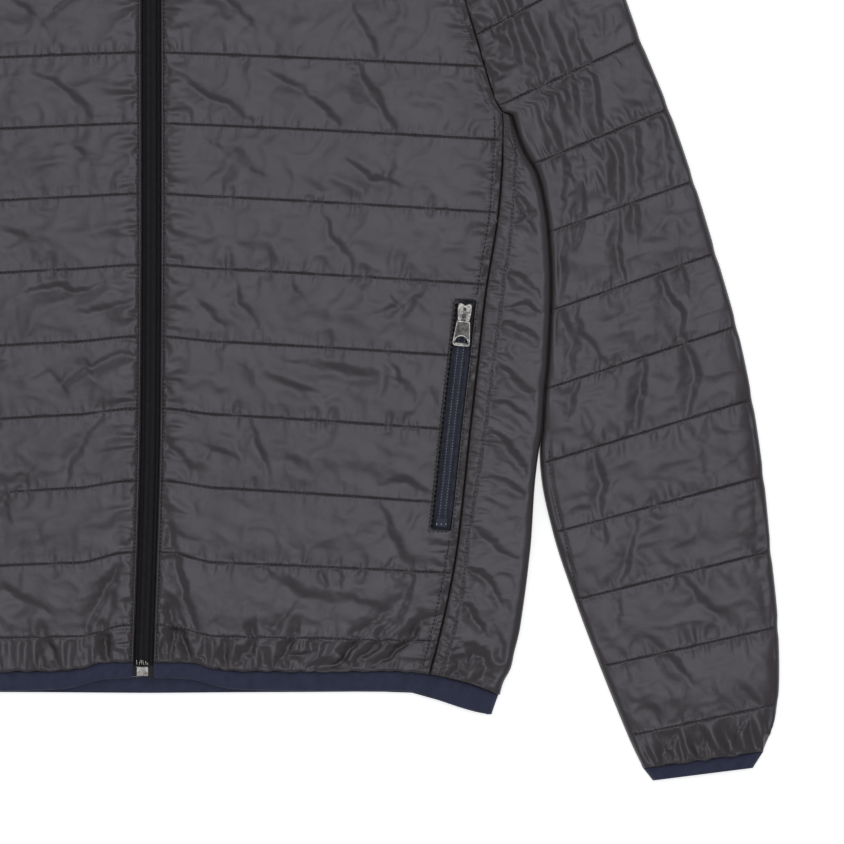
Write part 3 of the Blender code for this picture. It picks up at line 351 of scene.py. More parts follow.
def quilt_y(line_y, x):
    """Height of a stitched line of the front, named by its height in the CAD model."""
    away = np.abs(x)
    beside_zip = quilt_step(line_y) * smooth((away - 12.0) / 34.0)
    to_side = quilt_fall(line_y) * (np.maximum(away - 8.0, 0) / 176.0) ** 1.2
    return line_y + quilt_lift(line_y) - beside_zip - to_side


def zip_edge_x(y, side):
    edge = ZIP_GAP / 2 + side * zip_middle_x(y)
    below_shoulder = SHOULDER_Y - y
    neck = NECK_HALF * np.sqrt(np.clip(1 - (below_shoulder / NECK_DEPTH) ** 2, 0.0, 1.0))
    return np.where(below_shoulder < NECK_DEPTH, np.maximum(edge, neck), edge)


def front_edge_x(y):
    share = np.clip((y - SHOULDER_POINT[1]) / (SHOULDER_Y - SHOULDER_POINT[1]), 0.0, 1.0)
    return np.where(y > SHOULDER_POINT[1], mix(SHOULDER_POINT[0], NECK_HALF, share), front_seam_x(y))


def back_seam_x(y):
    narrow = smooth((y - UNDERARM_Y + FLANGE_TAPER) / FLANGE_TAPER)
    return side_fold_x(y) - mix(BACK_FLANGE, UNDERARM_FLANGE, narrow)


def back_edge_x(y):
    above = smooth((y - UNDERARM_Y + 6) / 8)
    return np.where(y > SHOULDER_POINT[1], front_edge_x(y), mix(back_seam_x(y), front_seam_x(y), above))


def meet(edge, height_at, start):
    """The x where an edge, x of y, crosses each row, y of x."""
    x = start
    for _ in range(25):
        x = mix(x, edge(height_at(x)), 0.7)
    return x


def noise_field(rng, x, y, scale, layers=3):
    """Smooth random field, about -1 to 1, whose waves are about as long as scale."""
    total = np.zeros_like(x)
    for layer in range(layers):
        waves = 5
        size = scale / 1.7 ** layer
        for _ in range(waves):
            angle = rng.uniform(0, 2 * math.pi)
            turn = 2 * math.pi / (size * rng.uniform(0.75, 1.5))
            phase = rng.uniform(0, 2 * math.pi)
            total += np.sin((x * math.cos(angle) + y * math.sin(angle)) * turn + phase) / (1.4 ** layer)
    return total / (waves * 0.42 * layers ** 0.5)


def crumple(rng, x, y, size, lean):
    """Thin sharp valleys that wander and come and go, each beside a faint swell.

    size is the distance between them and lean their angle from the y axis, to +X.
    """
    turn = math.radians(lean)
    across = x * math.cos(turn) - y * math.sin(turn)
    along = (x * math.sin(turn) + y * math.cos(turn)) * 0.45
    field = noise_field(rng, across, along, size)
    slope = size / 4.0
    mask = smooth(1.5 * noise_field(rng, x, y, size * 1.6) - 0.3)
    valley = np.exp(-np.abs(field) * slope / 1.1)
    swell = 0.30 * np.exp(-np.maximum(field, 0) * slope / 4.0) * (field > 0)
    return mask * (valley + swell)


TICK_PITCH = 5.2        # about how far apart short puckers stand


def ticks(rng, along, across, distance, reach):
    """Short uneven puckers that run away from a held line, up to about three times reach."""
    bend = 1.5 * noise_field(rng, along, across, 18.0)
    phase = (along + bend) / TICK_PITCH + 0.6 * noise_field(rng, along, across * 0.08, 24.0, layers=2)
    away = np.abs(phase - np.round(phase)) * TICK_PITCH
    strength = np.clip(0.55 + 0.8 * noise_field(rng, along, across * 0.3, 30.0), 0.0, 1.3)
    length = reach * (0.5 + 0.8 * smooth(0.5 + 0.6 * noise_field(rng, along, across * 0.2, 14.0)))
    return strength * np.exp(-(away / 0.9) ** 1.3) * np.exp(-np.maximum(distance, 0) / length)


def facets(rng, x, y, size):
    """Broad flat-sided dents, about 0 to 1 deep, that tilt patches of the cloth."""
    field = noise_field(rng, x, y * 1.3, size)
    return np.abs(np.clip(1.6 * field, -1, 1)) ** 1.2


def rungs(rng, along, across, spacing):
    """Thin uneven creases that cross a narrow strip between two seams, like a ladder's rungs."""
    phase = (along + 0.35 * across) / spacing + 0.5 * noise_field(rng, along, across * 0.4, 14.0)
    away = np.abs(phase - np.round(phase)) * spacing
    strength = np.clip(0.6 + 0.8 * noise_field(rng, along, across * 0.2, 10.0), 0.05, 1.2)
    return strength * np.exp(-(away / 0.8) ** 1.4)


def crease_depth(creases, x, y, side, mirror=1):
    """Depth of the listed creases.

    Each wanders a little, falls steeply on the side of the lamp and comes back slowly.
    """
    rng = np.random.default_rng(5)
    x, y = x + 1.1 * noise_field(rng, x, y, 16.0), y + 1.1 * noise_field(rng, x, y, 16.0)
    depth = np.zeros_like(x)
    for height, half_width, *points in creases:
        best = np.full_like(x, 1e9)
        signed = np.zeros_like(x)
        along = np.zeros_like(x)
        pieces = len(points) - 1
        for i in range(pieces):
            x0, y0 = points[i]
            x1, y1 = points[i + 1]
            x0, x1 = x0 * mirror, x1 * mirror
            dx, dy = x1 - x0, y1 - y0
            share = np.clip(((x - x0) * dx + (y - y0) * dy) / (dx * dx + dy * dy), 0.0, 1.0)
            away = np.hypot(x - x0 - share * dx, y - y0 - share * dy)
            to_lamp = np.sign(dy * LAMP_SIDE[0] * side - dx * LAMP_SIDE[1])
            beside = np.sign((x - x0) * dy - (y - y0) * dx) * to_lamp
            nearer = away < best
            best = np.where(nearer, away, best)
            signed = np.where(nearer, away * beside, signed)
            along = np.where(nearer, (i + share) / pieces, along)
        taper = np.sin(math.pi * np.clip(along, 0.06, 0.94)) ** 0.6
        width = half_width * (0.55 + 0.45 * taper)
        place = signed + 0.5 * width
        steep = 1 - smooth(place / (1.5 * width))
        slow = np.exp(np.minimum(place, 0) / (2.4 * width))
        depth += height * taper * np.where(place > 0, steep, slow) * np.exp(-(best / (3.5 * width)) ** 4)
    return depth


# ---------------------------------------------------------------- the wrinkling of a grid

FINE = 1.37             # about how far apart a grid's points lie
BEND = 0.0015           # how strongly the cloth resists bending


def hold_length(first, second, rest, free_first, free_second):
    """Move pairs of points towards the rest length between them, in place."""
    gap = second - first
    length = np.sqrt((gap * gap).sum(-1)) + 1e-6
    share = (1.0 - rest / length) / (free_first + free_second + 1e-6)
    gap *= share[..., None]
    first += gap * free_first[..., None]
    second -= gap * free_second[..., None]


def edge_sets(shape):
    """Slices of the two ends of every grid edge and diagonal, in sets that share no point."""
    rows, cols = shape
    sets = []
    for start in (0, 1):
        a = slice(start, cols - 1, 2)
        b = slice(start + 1, cols, 2)
        sets.append(((slice(None), a), (slice(None), b)))
        a = slice(start, rows - 1, 2)
        b = slice(start + 1, rows, 2)
        sets.append(((a, slice(None)), (b, slice(None))))
        sets.append(((a, slice(0, cols - 1)), (b, slice(1, cols))))
        sets.append(((a, slice(1, cols)), (b, slice(0, cols - 1))))
    return sets


def spread_twice(field):
    """Fourth difference of a field along rows and columns, which resists bending."""
    def spread(values):
        out = np.zeros_like(values)
        out[:, 1:-1] += values[:, 2:] + values[:, :-2] - 2 * values[:, 1:-1]
        out[1:-1] += values[2:] + values[:-2] - 2 * values[1:-1]
        return out
    return spread(spread(field))


def grid_normals(base):
    """Unit normal at each point of a grid."""
    along = np.gradient(base, axis=1)
    up = np.gradient(base, axis=0)
    normal = np.cross(along, up)
    return normal / (np.linalg.norm(normal, axis=-1, keepdims=True) + 1e-9)


def relax(base, flat, strain, wave, free, offset, rounds, cap):
    """Let the cloth buckle on its form and return how far each point moves.

    strain holds how much too long the cloth is, along x, along y and on the slant; wave is the
    length of the wrinkles that the padding allows there; free is 0 where stitching holds it.
    """
    base = base.astype(np.float32)
    normal = grid_normals(base).astype(np.float32)
    points = base + offset.astype(np.float32)
    spacing = np.sqrt((np.gradient(flat, axis=1) ** 2).sum(-1))
    support = BEND * np.minimum((2 * math.pi * spacing / wave) ** 4, 12.0)
    support = support.astype(np.float32)
    sets = []
    for a, b in edge_sets(free.shape):
        step = flat[b] - flat[a]
        size = (step ** 2).sum(-1) + 1e-9
        pull = (strain[0][a] * step[..., 0] ** 2 + strain[1][a] * step[..., 1] ** 2
                + 2 * strain[2][a] * step[..., 0] * step[..., 1]) / size
        rest = np.linalg.norm(base[b] - base[a], axis=-1) * (1.0 + pull)
        sets.append((a, b, rest.astype(np.float32), free[a].astype(np.float32), free[b].astype(np.float32)))
    free3 = free[..., None].astype(np.float32)
    for _ in range(rounds):
        for a, b, rest, free_a, free_b in sets:
            hold_length(points[a], points[b], rest, free_a, free_b)
        moved = points - base
        bent = spread_twice(moved)
        up = (moved * normal).sum(-1)
        side = moved - up[..., None] * normal
        stiff = np.where(up > 0, 2.5, 1.0) * support
        push = -np.minimum(stiff, 0.5) * up
        points += free3 * (push[..., None] * normal - BEND * bent - 0.02 * side)
        np.minimum(points[..., 2], base[..., 2] + cap, out=points[..., 2])
        np.maximum(points[..., 2], base[..., 2] - cap, out=points[..., 2])
    return points - base


def resize(field, shape):
    """A field on a coarse grid, read between its points on a finer one."""
    rows = np.linspace(0, field.shape[0] - 1, shape[0])
    cols = np.linspace(0, field.shape[1] - 1, shape[1])
    r0 = np.minimum(rows.astype(int), field.shape[0] - 2)
    c0 = np.minimum(cols.astype(int), field.shape[1] - 2)
    fr = (rows - r0)[:, None, None]
    fc = (cols - c0)[None, :, None]
    top = field[r0][:, c0] * (1 - fc) + field[r0][:, c0 + 1] * fc
    low = field[r0 + 1][:, c0] * (1 - fc) + field[r0 + 1][:, c0 + 1] * fc
    return top * (1 - fr) + low * fr


def wrinkle(seed, base, flat, strain, wave, free, cap=2.2, rounds=((4, 500), (2, 200), (1, 60))):
    """Wrinkle a grid from coarse to fine, so that long folds form first."""
    rng = np.random.default_rng(seed)
    moved = None
    for step, count in rounds:
        rows = np.unique(np.round(np.linspace(0, base.shape[0] - 1, base.shape[0] // step)).astype(int))
        cols = np.unique(np.round(np.linspace(0, base.shape[1] - 1, base.shape[1] // step)).astype(int))
        pick = np.ix_(rows, cols)
        if moved is None:
            moved = np.zeros((len(rows), len(cols), 3))
            moved[..., 2] = rng.normal(0, 0.25, moved.shape[:2])
        else:
            moved = resize(moved, (len(rows), len(cols)))
            moved[..., 2] += rng.normal(0, 0.03, moved.shape[:2])
        moved *= np.minimum(1.0, 1.3 * free[pick])[..., None]
        fits = smooth(wave[pick] / (3.6 * FINE * step) - 0.25)
        moved = relax(base[pick], flat[pick], [s[pick] * fits for s in strain], wave[pick], free[pick],
                      moved, count, cap)
    return base + resize(moved, base.shape[:2])


def hold_rim(free):
    """Let no point on the rim of a grid move."""
    free[0] = free[-1] = 0.0
    free[:, 0] = free[:, -1] = 0.0


def slanted(amount, degrees):
    """Strain across folds whose crests lean by the given angle from the y axis, to +X."""
    turn = np.radians(degrees)
    across_x, across_y = np.cos(turn), -np.sin(turn)
    return [amount * across_x**2, amount * across_y**2, amount * across_x * across_y]


def add_strains(*strains):
    """Sum of several strains, each along x, along y and on the slant."""
    return [sum(parts) for parts in zip(*strains)]


# ---------------------------------------------------------------- meshes


def make_mesh(name, points, faces, flat=None):
    """Mesh object from points in millimetres and arrays of faces, each of one face size.

    flat holds the place of each point on the flat cloth and, where there are four columns,
    how near it is to a stitched line and to a seam.
    """
    data = bpy.data.meshes.new(name)
    faces = [np.asarray(block, dtype=np.int32) for block in faces if len(block)]
    loops = np.concatenate([block.ravel() for block in faces])
    sizes = np.concatenate([np.full(len(block), block.shape[1]) for block in faces])
    starts = np.concatenate(([0], np.cumsum(sizes)[:-1]))
    data.vertices.add(len(points))
    data.vertices.foreach_set("co", (np.asarray(points) * MM).astype(np.float32).ravel())
    data.loops.add(len(loops))
    data.loops.foreach_set("vertex_index", loops)
    data.polygons.add(len(sizes))
    data.polygons.foreach_set("loop_start", starts.astype(np.int32))
    data.update(calc_edges=True)
    if flat is not None:
        layer = data.uv_layers.new(name="cloth")
        layer.data.foreach_set("uv", (np.asarray(flat)[loops, :2] * MM).astype(np.float32).ravel())
        if flat.shape[1] > 2:
            layer = data.uv_layers.new(name="held")
            layer.data.foreach_set("uv", flat[loops, 2:].astype(np.float32).ravel())
    mesh = bmesh.new()
    mesh.from_mesh(data)
    bmesh.ops.recalc_face_normals(mesh, faces=mesh.faces[:])
    mesh.to_mesh(data)
    mesh.free()
    data.shade_smooth()
    piece = bpy.data.objects.new(name, data)
    bpy.context.scene.collection.objects.link(piece)
    return piece


def finish_piece(piece, material, slot, *nodes, body=BODY):
    """Give a piece its material, the body that it rides on and the nodes it replaces; slot is not used."""
    piece.data.materials.clear()
    piece.data.materials.append(material)
    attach(piece, body)
    if nodes:
        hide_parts(*nodes)
    return piece


def grid_quads(ids):
    """The four corners of each cell of a grid of point numbers."""
    return np.stack([ids[:-1, :-1], ids[:-1, 1:], ids[1:, 1:], ids[1:, :-1]], axis=-1).reshape(-1, 4)


def rim(outer_line, inner_line, kept):
    """Triangles between a fine line of points and the kept few of them on the inner sheet."""
    faces = []
    for k in range(len(kept) - 1):
        for m in range(kept[k], kept[k + 1]):
            faces.append((inner_line[k], outer_line[m], outer_line[m + 1]))
        faces.append((inner_line[k], outer_line[kept[k + 1]], inner_line[k + 1]))
    return faces


def kept_places(count, step, *also):
    """Every step-th place of a line, its two ends and some others."""
    return np.array(sorted({*range(0, count, step), count - 1, *also}))


def shell(name, outer, inner, flat, row_step=12, col_step=12, holes=(), ring_rows=0, keep_cols=()):
    """Closed shell: a fine outer sheet over a plain inner one, joined round their edges.

    The first ring_rows rows close into rings. Each hole is (row, row, column, column).
    """
    rows, cols = outer.shape[:2]
    hole_rows = [i for hole in holes for i in hole[:2]]
    hole_cols = [i for hole in holes for i in hole[2:]]
    kept_rows = kept_places(rows, row_step, *hole_rows, *([ring_rows - 1] if ring_rows else []))
    kept_cols = kept_places(cols, col_step, *hole_cols, *keep_cols)
    sub_inner = inner[np.ix_(kept_rows, kept_cols)]
    sub_flat = flat[np.ix_(kept_rows, kept_cols)]
    points = np.concatenate([outer.reshape(-1, 3), sub_inner.reshape(-1, 3)])
    flats = np.concatenate([flat.reshape(rows * cols, -1), sub_flat.reshape(-1, flat.shape[-1])])
    out_ids = np.arange(rows * cols).reshape(rows, cols)
    in_ids = np.arange(len(kept_rows) * len(kept_cols)).reshape(len(kept_rows), len(kept_cols)) + rows * cols

    def open_quads(ids, row_places, col_places):
        keep = np.ones((len(row_places) - 1, len(col_places) - 1), bool)
        for r0, r1, c0, c1 in holes:
            in_rows = (row_places[:-1] >= r0) & (row_places[:-1] < r1)
            in_cols = (col_places[:-1] >= c0) & (col_places[:-1] < c1)
            keep[np.ix_(in_rows, in_cols)] = False
        return grid_quads(ids)[keep.ravel()]

    quads = [open_quads(out_ids, np.arange(rows), np.arange(cols)),
             open_quads(in_ids, kept_rows, kept_cols)[:, ::-1]]
    sides = rim(out_ids[0], in_ids[0], kept_cols) + rim(out_ids[-1], in_ids[-1], kept_cols)
    first = max(ring_rows - 1, 0)
    from_first = kept_rows >= first
    lines = kept_rows[from_first] - first
    sides += rim(out_ids[first:, 0], in_ids[from_first, 0], lines)
    sides += rim(out_ids[first:, -1], in_ids[from_first, -1], lines)
    if ring_rows:
        wrap = np.stack([out_ids[:first, -1], out_ids[:first, 0],
                         out_ids[1:first + 1, 0], out_ids[1:first + 1, -1]], axis=-1)
        quads.append(wrap)
        low = in_ids[kept_rows <= first]
        quads.append(np.stack([low[:-1, -1], low[:-1, 0], low[1:, 0], low[1:, -1]], axis=-1))
    for r0, r1, c0, c1 in holes:
        k0, k1 = np.searchsorted(kept_rows, (r0, r1))
        m0, m1 = np.searchsorted(kept_cols, (c0, c1))
        for row, kept_row in ((r0, k0), (r1, k1)):
            sides += rim(out_ids[row, c0:c1 + 1], in_ids[kept_row, m0:m1 + 1], kept_cols[m0:m1 + 1] - c0)
        for col, kept_col in ((c0, m0), (c1, m1)):
            sides += rim(out_ids[r0:r1 + 1, col], in_ids[k0:k1 + 1, kept_col], kept_rows[k0:k1 + 1] - r0)
    return drop_loose(name, points, quads + [np.array(sides)], flats)


def drop_loose(name, points, faces, flats):
    """Make the mesh from the points that its faces use."""
    used = np.zeros(len(points), bool)
    for block in faces:
        used[np.asarray(block).ravel()] = True
    new_ids = np.cumsum(used) - 1
    return make_mesh(name, points[used], [new_ids[np.asarray(block)] for block in faces], flats[used])


def to_side(points, side):
    """Points drawn at +X, moved to their own side."""
    points = np.array(points, float)
    points[..., 0] *= side
    return points


# ---------------------------------------------------------------- materials


def new_material(name, colour, roughness, metallic=0.0, **values):
    """A material of plain values, with further sockets of its shader named with _ for a space."""
    made = bpy.data.materials.new(name)
    made.use_nodes = True
    shader = made.node_tree.nodes["Principled BSDF"]
    shader.inputs["Base Color"].default_value = (*colour, 1.0)
    shader.inputs["Roughness"].default_value = roughness
    shader.inputs["Metallic"].default_value = metallic
    for socket, value in values.items():
        shader.inputs[socket.replace("_", " ")].default_value = value
    return made


class Nodes:
    """Short way to add and link nodes of one material."""

    def __init__(self, material):
        self.tree = material.node_tree
        self.shader = self.tree.nodes["Principled BSDF"]

    def add(self, kind, links=None, **settings):
        node = self.tree.nodes.new(kind)
        for key, value in settings.items():
            if key in node.inputs:
                node.inputs[key].default_value = value
            else:
                setattr(node, key, value)
        for socket, source in (links or {}).items():
            self.tree.links.new(source, node.inputs[socket])
        return node

    def place(self):
        return self.add("ShaderNodeTexCoord").outputs["Object"]

    def cloth_place(self):
        return self.add("ShaderNodeUVMap", uv_map="cloth").outputs["UV"]

    def noise(self, place, scale, detail=3.0, roughness=0.5):
        node = self.add("ShaderNodeTexNoise", {"Vector": place}, Scale=scale, Detail=detail,
                        Roughness=roughness)
        return node.outputs["Fac"]

    def stripes(self, place, direction, width, distortion):
        """Waves as wide as a thread or a rib."""
        node = self.add("ShaderNodeTexWave", {"Vector": place}, bands_direction=direction,
                        Scale=0.314 / width, Distortion=distortion)
        return node.outputs["Fac"]

    def product(self, first, second):
        return self.add("ShaderNodeMath", {0: first, 1: second}, operation="MULTIPLY").outputs[0]

    def ramp(self, source, *stops):
        node = self.add("ShaderNodeValToRGB", {"Fac": source})
        elements = node.color_ramp.elements
        while len(elements) < len(stops):
            elements.new(0.5)
        for element, (position, colour) in zip(elements, stops):
            element.position = position
            element.color = (*colour, 1.0)
        return node.outputs["Color"]

    def bump(self, height, distance, strength=1.0, normal=None):
        links = {"Height": height}
        if normal is not None:
            links["Normal"] = normal
        return self.add("ShaderNodeBump", links, Distance=distance, Strength=strength).outputs["Normal"]

    def link(self, source, socket):
        self.tree.links.new(source, self.shader.inputs[socket])

    def map_range(self, source, low, high):
        node = self.add("ShaderNodeMapRange", {"Value": source})
        node.inputs["To Min"].default_value = low
        node.inputs["To Max"].default_value = high
        return node.outputs["Result"]


def weave(nodes, place, thread):
    """Height of a plain weave: two crossed sets of threads."""
    return nodes.product(*[nodes.stripes(place, direction, thread, 0.4) for direction in ("X", "Y")])


def shell_material():
    """Thin satin nylon: dark warm threads under a cool, soft gloss, finely crinkled."""
    made = new_material("shell_nylon", (0.030, 0.025, 0.023), 0.36, Specular_IOR_Level=0.56,
                        Specular_Tint=(0.87, 0.88, 1.0, 1.0), Sheen_Weight=0.04, Sheen_Roughness=0.4)
    nodes = Nodes(made)
    place = nodes.cloth_place()
    tone = nodes.ramp(nodes.noise(place, 9.0, 4.0, 0.6),
                      (0.30, (0.029, 0.023, 0.022)), (0.70, (0.038, 0.031, 0.031)))
    nodes.link(tone, "Base Color")
    nodes.link(nodes.map_range(nodes.noise(place, 40.0), 0.31, 0.40), "Roughness")
    held_place = nodes.add("ShaderNodeUVMap", uv_map="held").outputs["UV"]
    held = nodes.add("ShaderNodeSeparateXYZ", {"Vector": held_place})
    crinkle = nodes.bump(nodes.noise(place, 210.0, 4.0, 0.55), 0.0004, 0.35)
    for socket, stretch in (("X", (1.0, 0.14, 1.0)), ("Y", (0.14, 1.0, 1.0))):
        stretched = nodes.add("ShaderNodeMapping", {"Vector": place}, Scale=stretch).outputs["Vector"]
        pucker = nodes.product(nodes.noise(stretched, 380.0, 2.0, 0.5), held.outputs[socket])
        crinkle = nodes.bump(pucker, 0.0011, 0.8, crinkle)
    fine = nodes.bump(weave(nodes, place, 0.00035), 0.00003, 0.5, crinkle)
    nodes.link(fine, "Normal")
    return made


def binding_material():
    """Navy elastic knit: matte, ribbed across its length."""
    made = new_material("binding_elastic", (0.026, 0.031, 0.062), 0.85,
                        Specular_IOR_Level=0.22, Sheen_Weight=0.08, Sheen_Roughness=0.6)
    nodes = Nodes(made)
    place = nodes.cloth_place()
    tone = nodes.ramp(nodes.noise(place, 120.0, 5.0, 0.65),
                      (0.30, (0.023, 0.026, 0.053)), (0.72, (0.037, 0.042, 0.080)))
    nodes.link(tone, "Base Color")
    ribs = nodes.stripes(place, "X", 0.0011, 1.2)
    soft = nodes.bump(nodes.noise(place, 900.0), 0.0002, 0.4)
    nodes.link(nodes.bump(ribs, 0.0002, 0.6, soft), "Normal")
    return made


def tape_material(name, dark, light):
    """Woven zip tape."""
    made = new_material(name, dark, 0.66, Specular_IOR_Level=0.22)
    nodes = Nodes(made)
    place = nodes.cloth_place()
    nodes.link(nodes.ramp(nodes.noise(place, 260.0, 4.0), (0.32, dark), (0.70, light)), "Base Color")
    nodes.link(nodes.bump(weave(nodes, place, 0.0006), 0.00012, 0.8), "Normal")
    return made


def thread_material(name, dark, light, roughness):
    """Sewing thread, faintly uneven in colour."""
    made = new_material(name, dark, roughness, Specular_IOR_Level=0.5)
    nodes = Nodes(made)
    place = nodes.place()
    nodes.link(nodes.ramp(nodes.noise(place, 400.0, 2.0), (0.3, dark), (0.7, light)), "Base Color")
    nodes.link(nodes.bump(nodes.noise(place, 1500.0), 0.00005, 0.4), "Normal")
    return made


def metal_material(name, shade):
    """Cast zip metal with an antique finish: darker and rougher in patches, fine scratches."""
    plain, dark, bright = ([part * shade for part in colour]
                           for colour in ((0.46, 0.45, 0.43), (0.16, 0.155, 0.145), (0.50, 0.49, 0.47)))
    made = new_material(name, plain, 0.3, 1.0)
    nodes = Nodes(made)
    place = nodes.place()
    wear = nodes.noise(place, 420.0, 5.0, 0.6)
    nodes.link(nodes.ramp(wear, (0.32, dark), (0.62, bright)), "Base Color")
    nodes.link(nodes.map_range(wear, 0.44, 0.22), "Roughness")
    nodes.link(nodes.bump(nodes.noise(place, 2600.0, 3.0), 0.00006, 0.35), "Normal")
    return made


SHELL = shell_material()
BINDING = binding_material()
ZIP_TAPE = tape_material("zip_tape_black", (0.0070, 0.0066, 0.0090), (0.0110, 0.0105, 0.0140))
POCKET_TAPE = tape_material("pocket_tape_navy", (0.025, 0.029, 0.044), (0.044, 0.049, 0.070))
METAL = metal_material("aged_metal", 1.35)
PALE_THREAD = thread_material("thread_pale", (0.19, 0.21, 0.27), (0.31, 0.33, 0.39), 0.6)
BOX_METAL = metal_material("dull_metal", 0.5)
STEEL = metal_material("dark_metal", 0.2)
# THREAD also colours the strip of painted shadow along each pocket's opening.
THREAD = thread_material("thread_dark", (0.008, 0.006, 0.006), (0.016, 0.013, 0.012), 0.7)

# ---------------------------------------------------------------- what stitching does to the cloth

GROOVE_DEPTH, GROOVE_HALF = 0.55, 0.42      # of a stitched quilting line
PUCKER_DEPTH, PUCKER_REACH = 0.32, 3.2      # of the short puckers beside it
PINCH, PINCH_REACH = 0.022, 5.0             # how much too long the cloth is there
WAVE_AT_LINE, WAVE_REACH = 7.0, 9.0         # length of the wrinkles there, and where it has grown
GATHER_WAVE = 15.0                          # length of the wrinkles above elastic
QUILT_HOLD, SEAM_HOLD = 2.4, 2.6            # how far the finest pucker runs from lines and seams
LOWEST_TOP = FRONT_UNDER + 0.5              # no wrinkle of an upper face goes below this


def line_puckers(rng, along, across, from_line):
    """Depth of the short puckers beside the stitched lines."""
    return PUCKER_DEPTH * ticks(rng, along, across, from_line, PUCKER_REACH) * rise(from_line, 0.8)


def pinched(from_line, patches, lean):
    """Strain of the cloth beside the stitched lines."""
    return slanted(PINCH * fade(from_line, PINCH_REACH) * patches, lean)


def keep_above_inside(points, base):
    """Stop the wrinkles of the upper face above the inner one, in place."""
    points[..., 2] = np.maximum(points[..., 2], np.minimum(base[..., 2], LOWEST_TOP))


def overhang(along, above):
    """How far the gathered cloth bulges over the elastic that it is sewn to."""
    rng = np.random.default_rng(7)
    bulge = np.clip(0.45 + 0.75 * noise_field(rng, along, 0 * along, 13.0, layers=2), 0.0, 1.2)
    return 0.9 * bulge * (1 - smooth(above / 5.0))


def channel_rows(pitch=QUILT_PITCH):
    """Distances above a stitched line at which rows lie: closer beside the lines."""
    near = [0.0, 0.32, 0.7, 1.3]
    count = max(2, round((pitch - 2 * near[-1]) / FINE))
    middle = [mix(near[-1], pitch - near[-1], i / count) for i in range(1, count)]
    return near + middle + [pitch - step for step in reversed(near[1:])]


class Section:
    """Columns of a grid, from one edge of a piece across to the other.

    Each has its places across, its heights, and its share of the upper face: 1 on top, 0 below.
    """

    def __init__(self, rows):
        self.blank = np.zeros(rows)
        self.places, self.heights, self.shares = [], [], []

    def add(self, place, height, share):
        self.places.append(place + self.blank)
        self.heights.append(height + self.blank)
        self.shares.append(share)

    def grids(self):
        return np.stack(self.places, axis=1), np.stack(self.heights, axis=1), np.array(self.shares)


def padded_piece(name, node, side, points, inner, flat, near_lines, near_seams, **settings):
    """Mesh of a padded piece. Its points know their flat place and how near stitching they are."""
    flat = np.concatenate([flat, np.stack([near_lines, near_seams], axis=-1)], axis=-1)
    piece = shell(name, to_side(points, side), to_side(inner, side), flat, **settings)
    return finish_piece(piece, SHELL, "shell", node)


# ---------------------------------------------------------------- front panels

EDGE_STEPS = [0.0, 0.4, 0.85, 1.3, 1.75, 2.2, 2.65, 3.2, 4.0, 5.1]   # columns beside the zip
FRONT_COLUMNS = 134     # from there to the pocket
POCKET_COLUMNS = 10
STRIP_COLUMNS = 7       # from the pocket to the side seam
HEM_ROWS = 22           # from the hem to the lowest stitched line
TOPSTITCH = 1.9         # from the front edge to the stitching beside the zip
SEAM_STITCH = 5.6       # from the side seam to the line of stitching beside it


def front_grid(side):
    """x and y of the front panel's points, with each row's height at the zip."""
    top_row = QUILT_TOP_LINE + SHOULDER_Y - 1.0 - float(quilt_y(QUILT_TOP_LINE, NECK_HALF))
    lines = [QUILT_LOWEST + QUILT_PITCH * i + step for i in range(QUILT_LINES) for step in channel_rows()]
    lines = np.array([line for line in lines if line < top_row - 0.5] + [top_row])
    hem_shares = np.linspace(1.0, 0.0, HEM_ROWS)[:-1]
    line_y = np.concatenate([np.full(len(hem_shares), QUILT_LOWEST), lines])
    hem_share = np.concatenate([hem_shares, np.zeros(len(lines))])

    def row_y(x):
        return mix(quilt_y(per_row(line_y, x), x), hem_y(x), per_row(hem_share, x))

    left = meet(lambda y: zip_edge_x(y, side), row_y, np.full(len(line_y), 40.0))
    right = meet(front_edge_x, row_y, np.full(len(line_y), 150.0))
    right = np.maximum(right, left + 2.0)
    fit = np.minimum(1.0, (right - left) / 60.0)
    pocket_out = right - (POCKET_INSET + POCKET_WIDTH) * fit
    pocket_in = right - POCKET_INSET * fit
    columns = [left + step * fit for step in EDGE_STEPS]
    start = columns[-1]
    columns += [mix(start, pocket_out, i / FRONT_COLUMNS) for i in range(1, FRONT_COLUMNS)]
    first_pocket = len(columns)
    columns += [mix(pocket_out, pocket_in, i / POCKET_COLUMNS) for i in range(POCKET_COLUMNS + 1)]
    columns += [mix(pocket_in, right, i / STRIP_COLUMNS) for i in range(1, STRIP_COLUMNS + 1)]
    x = np.stack(columns, axis=1)
    return x, row_y(x), line_y, hem_share, left, right, first_pocket


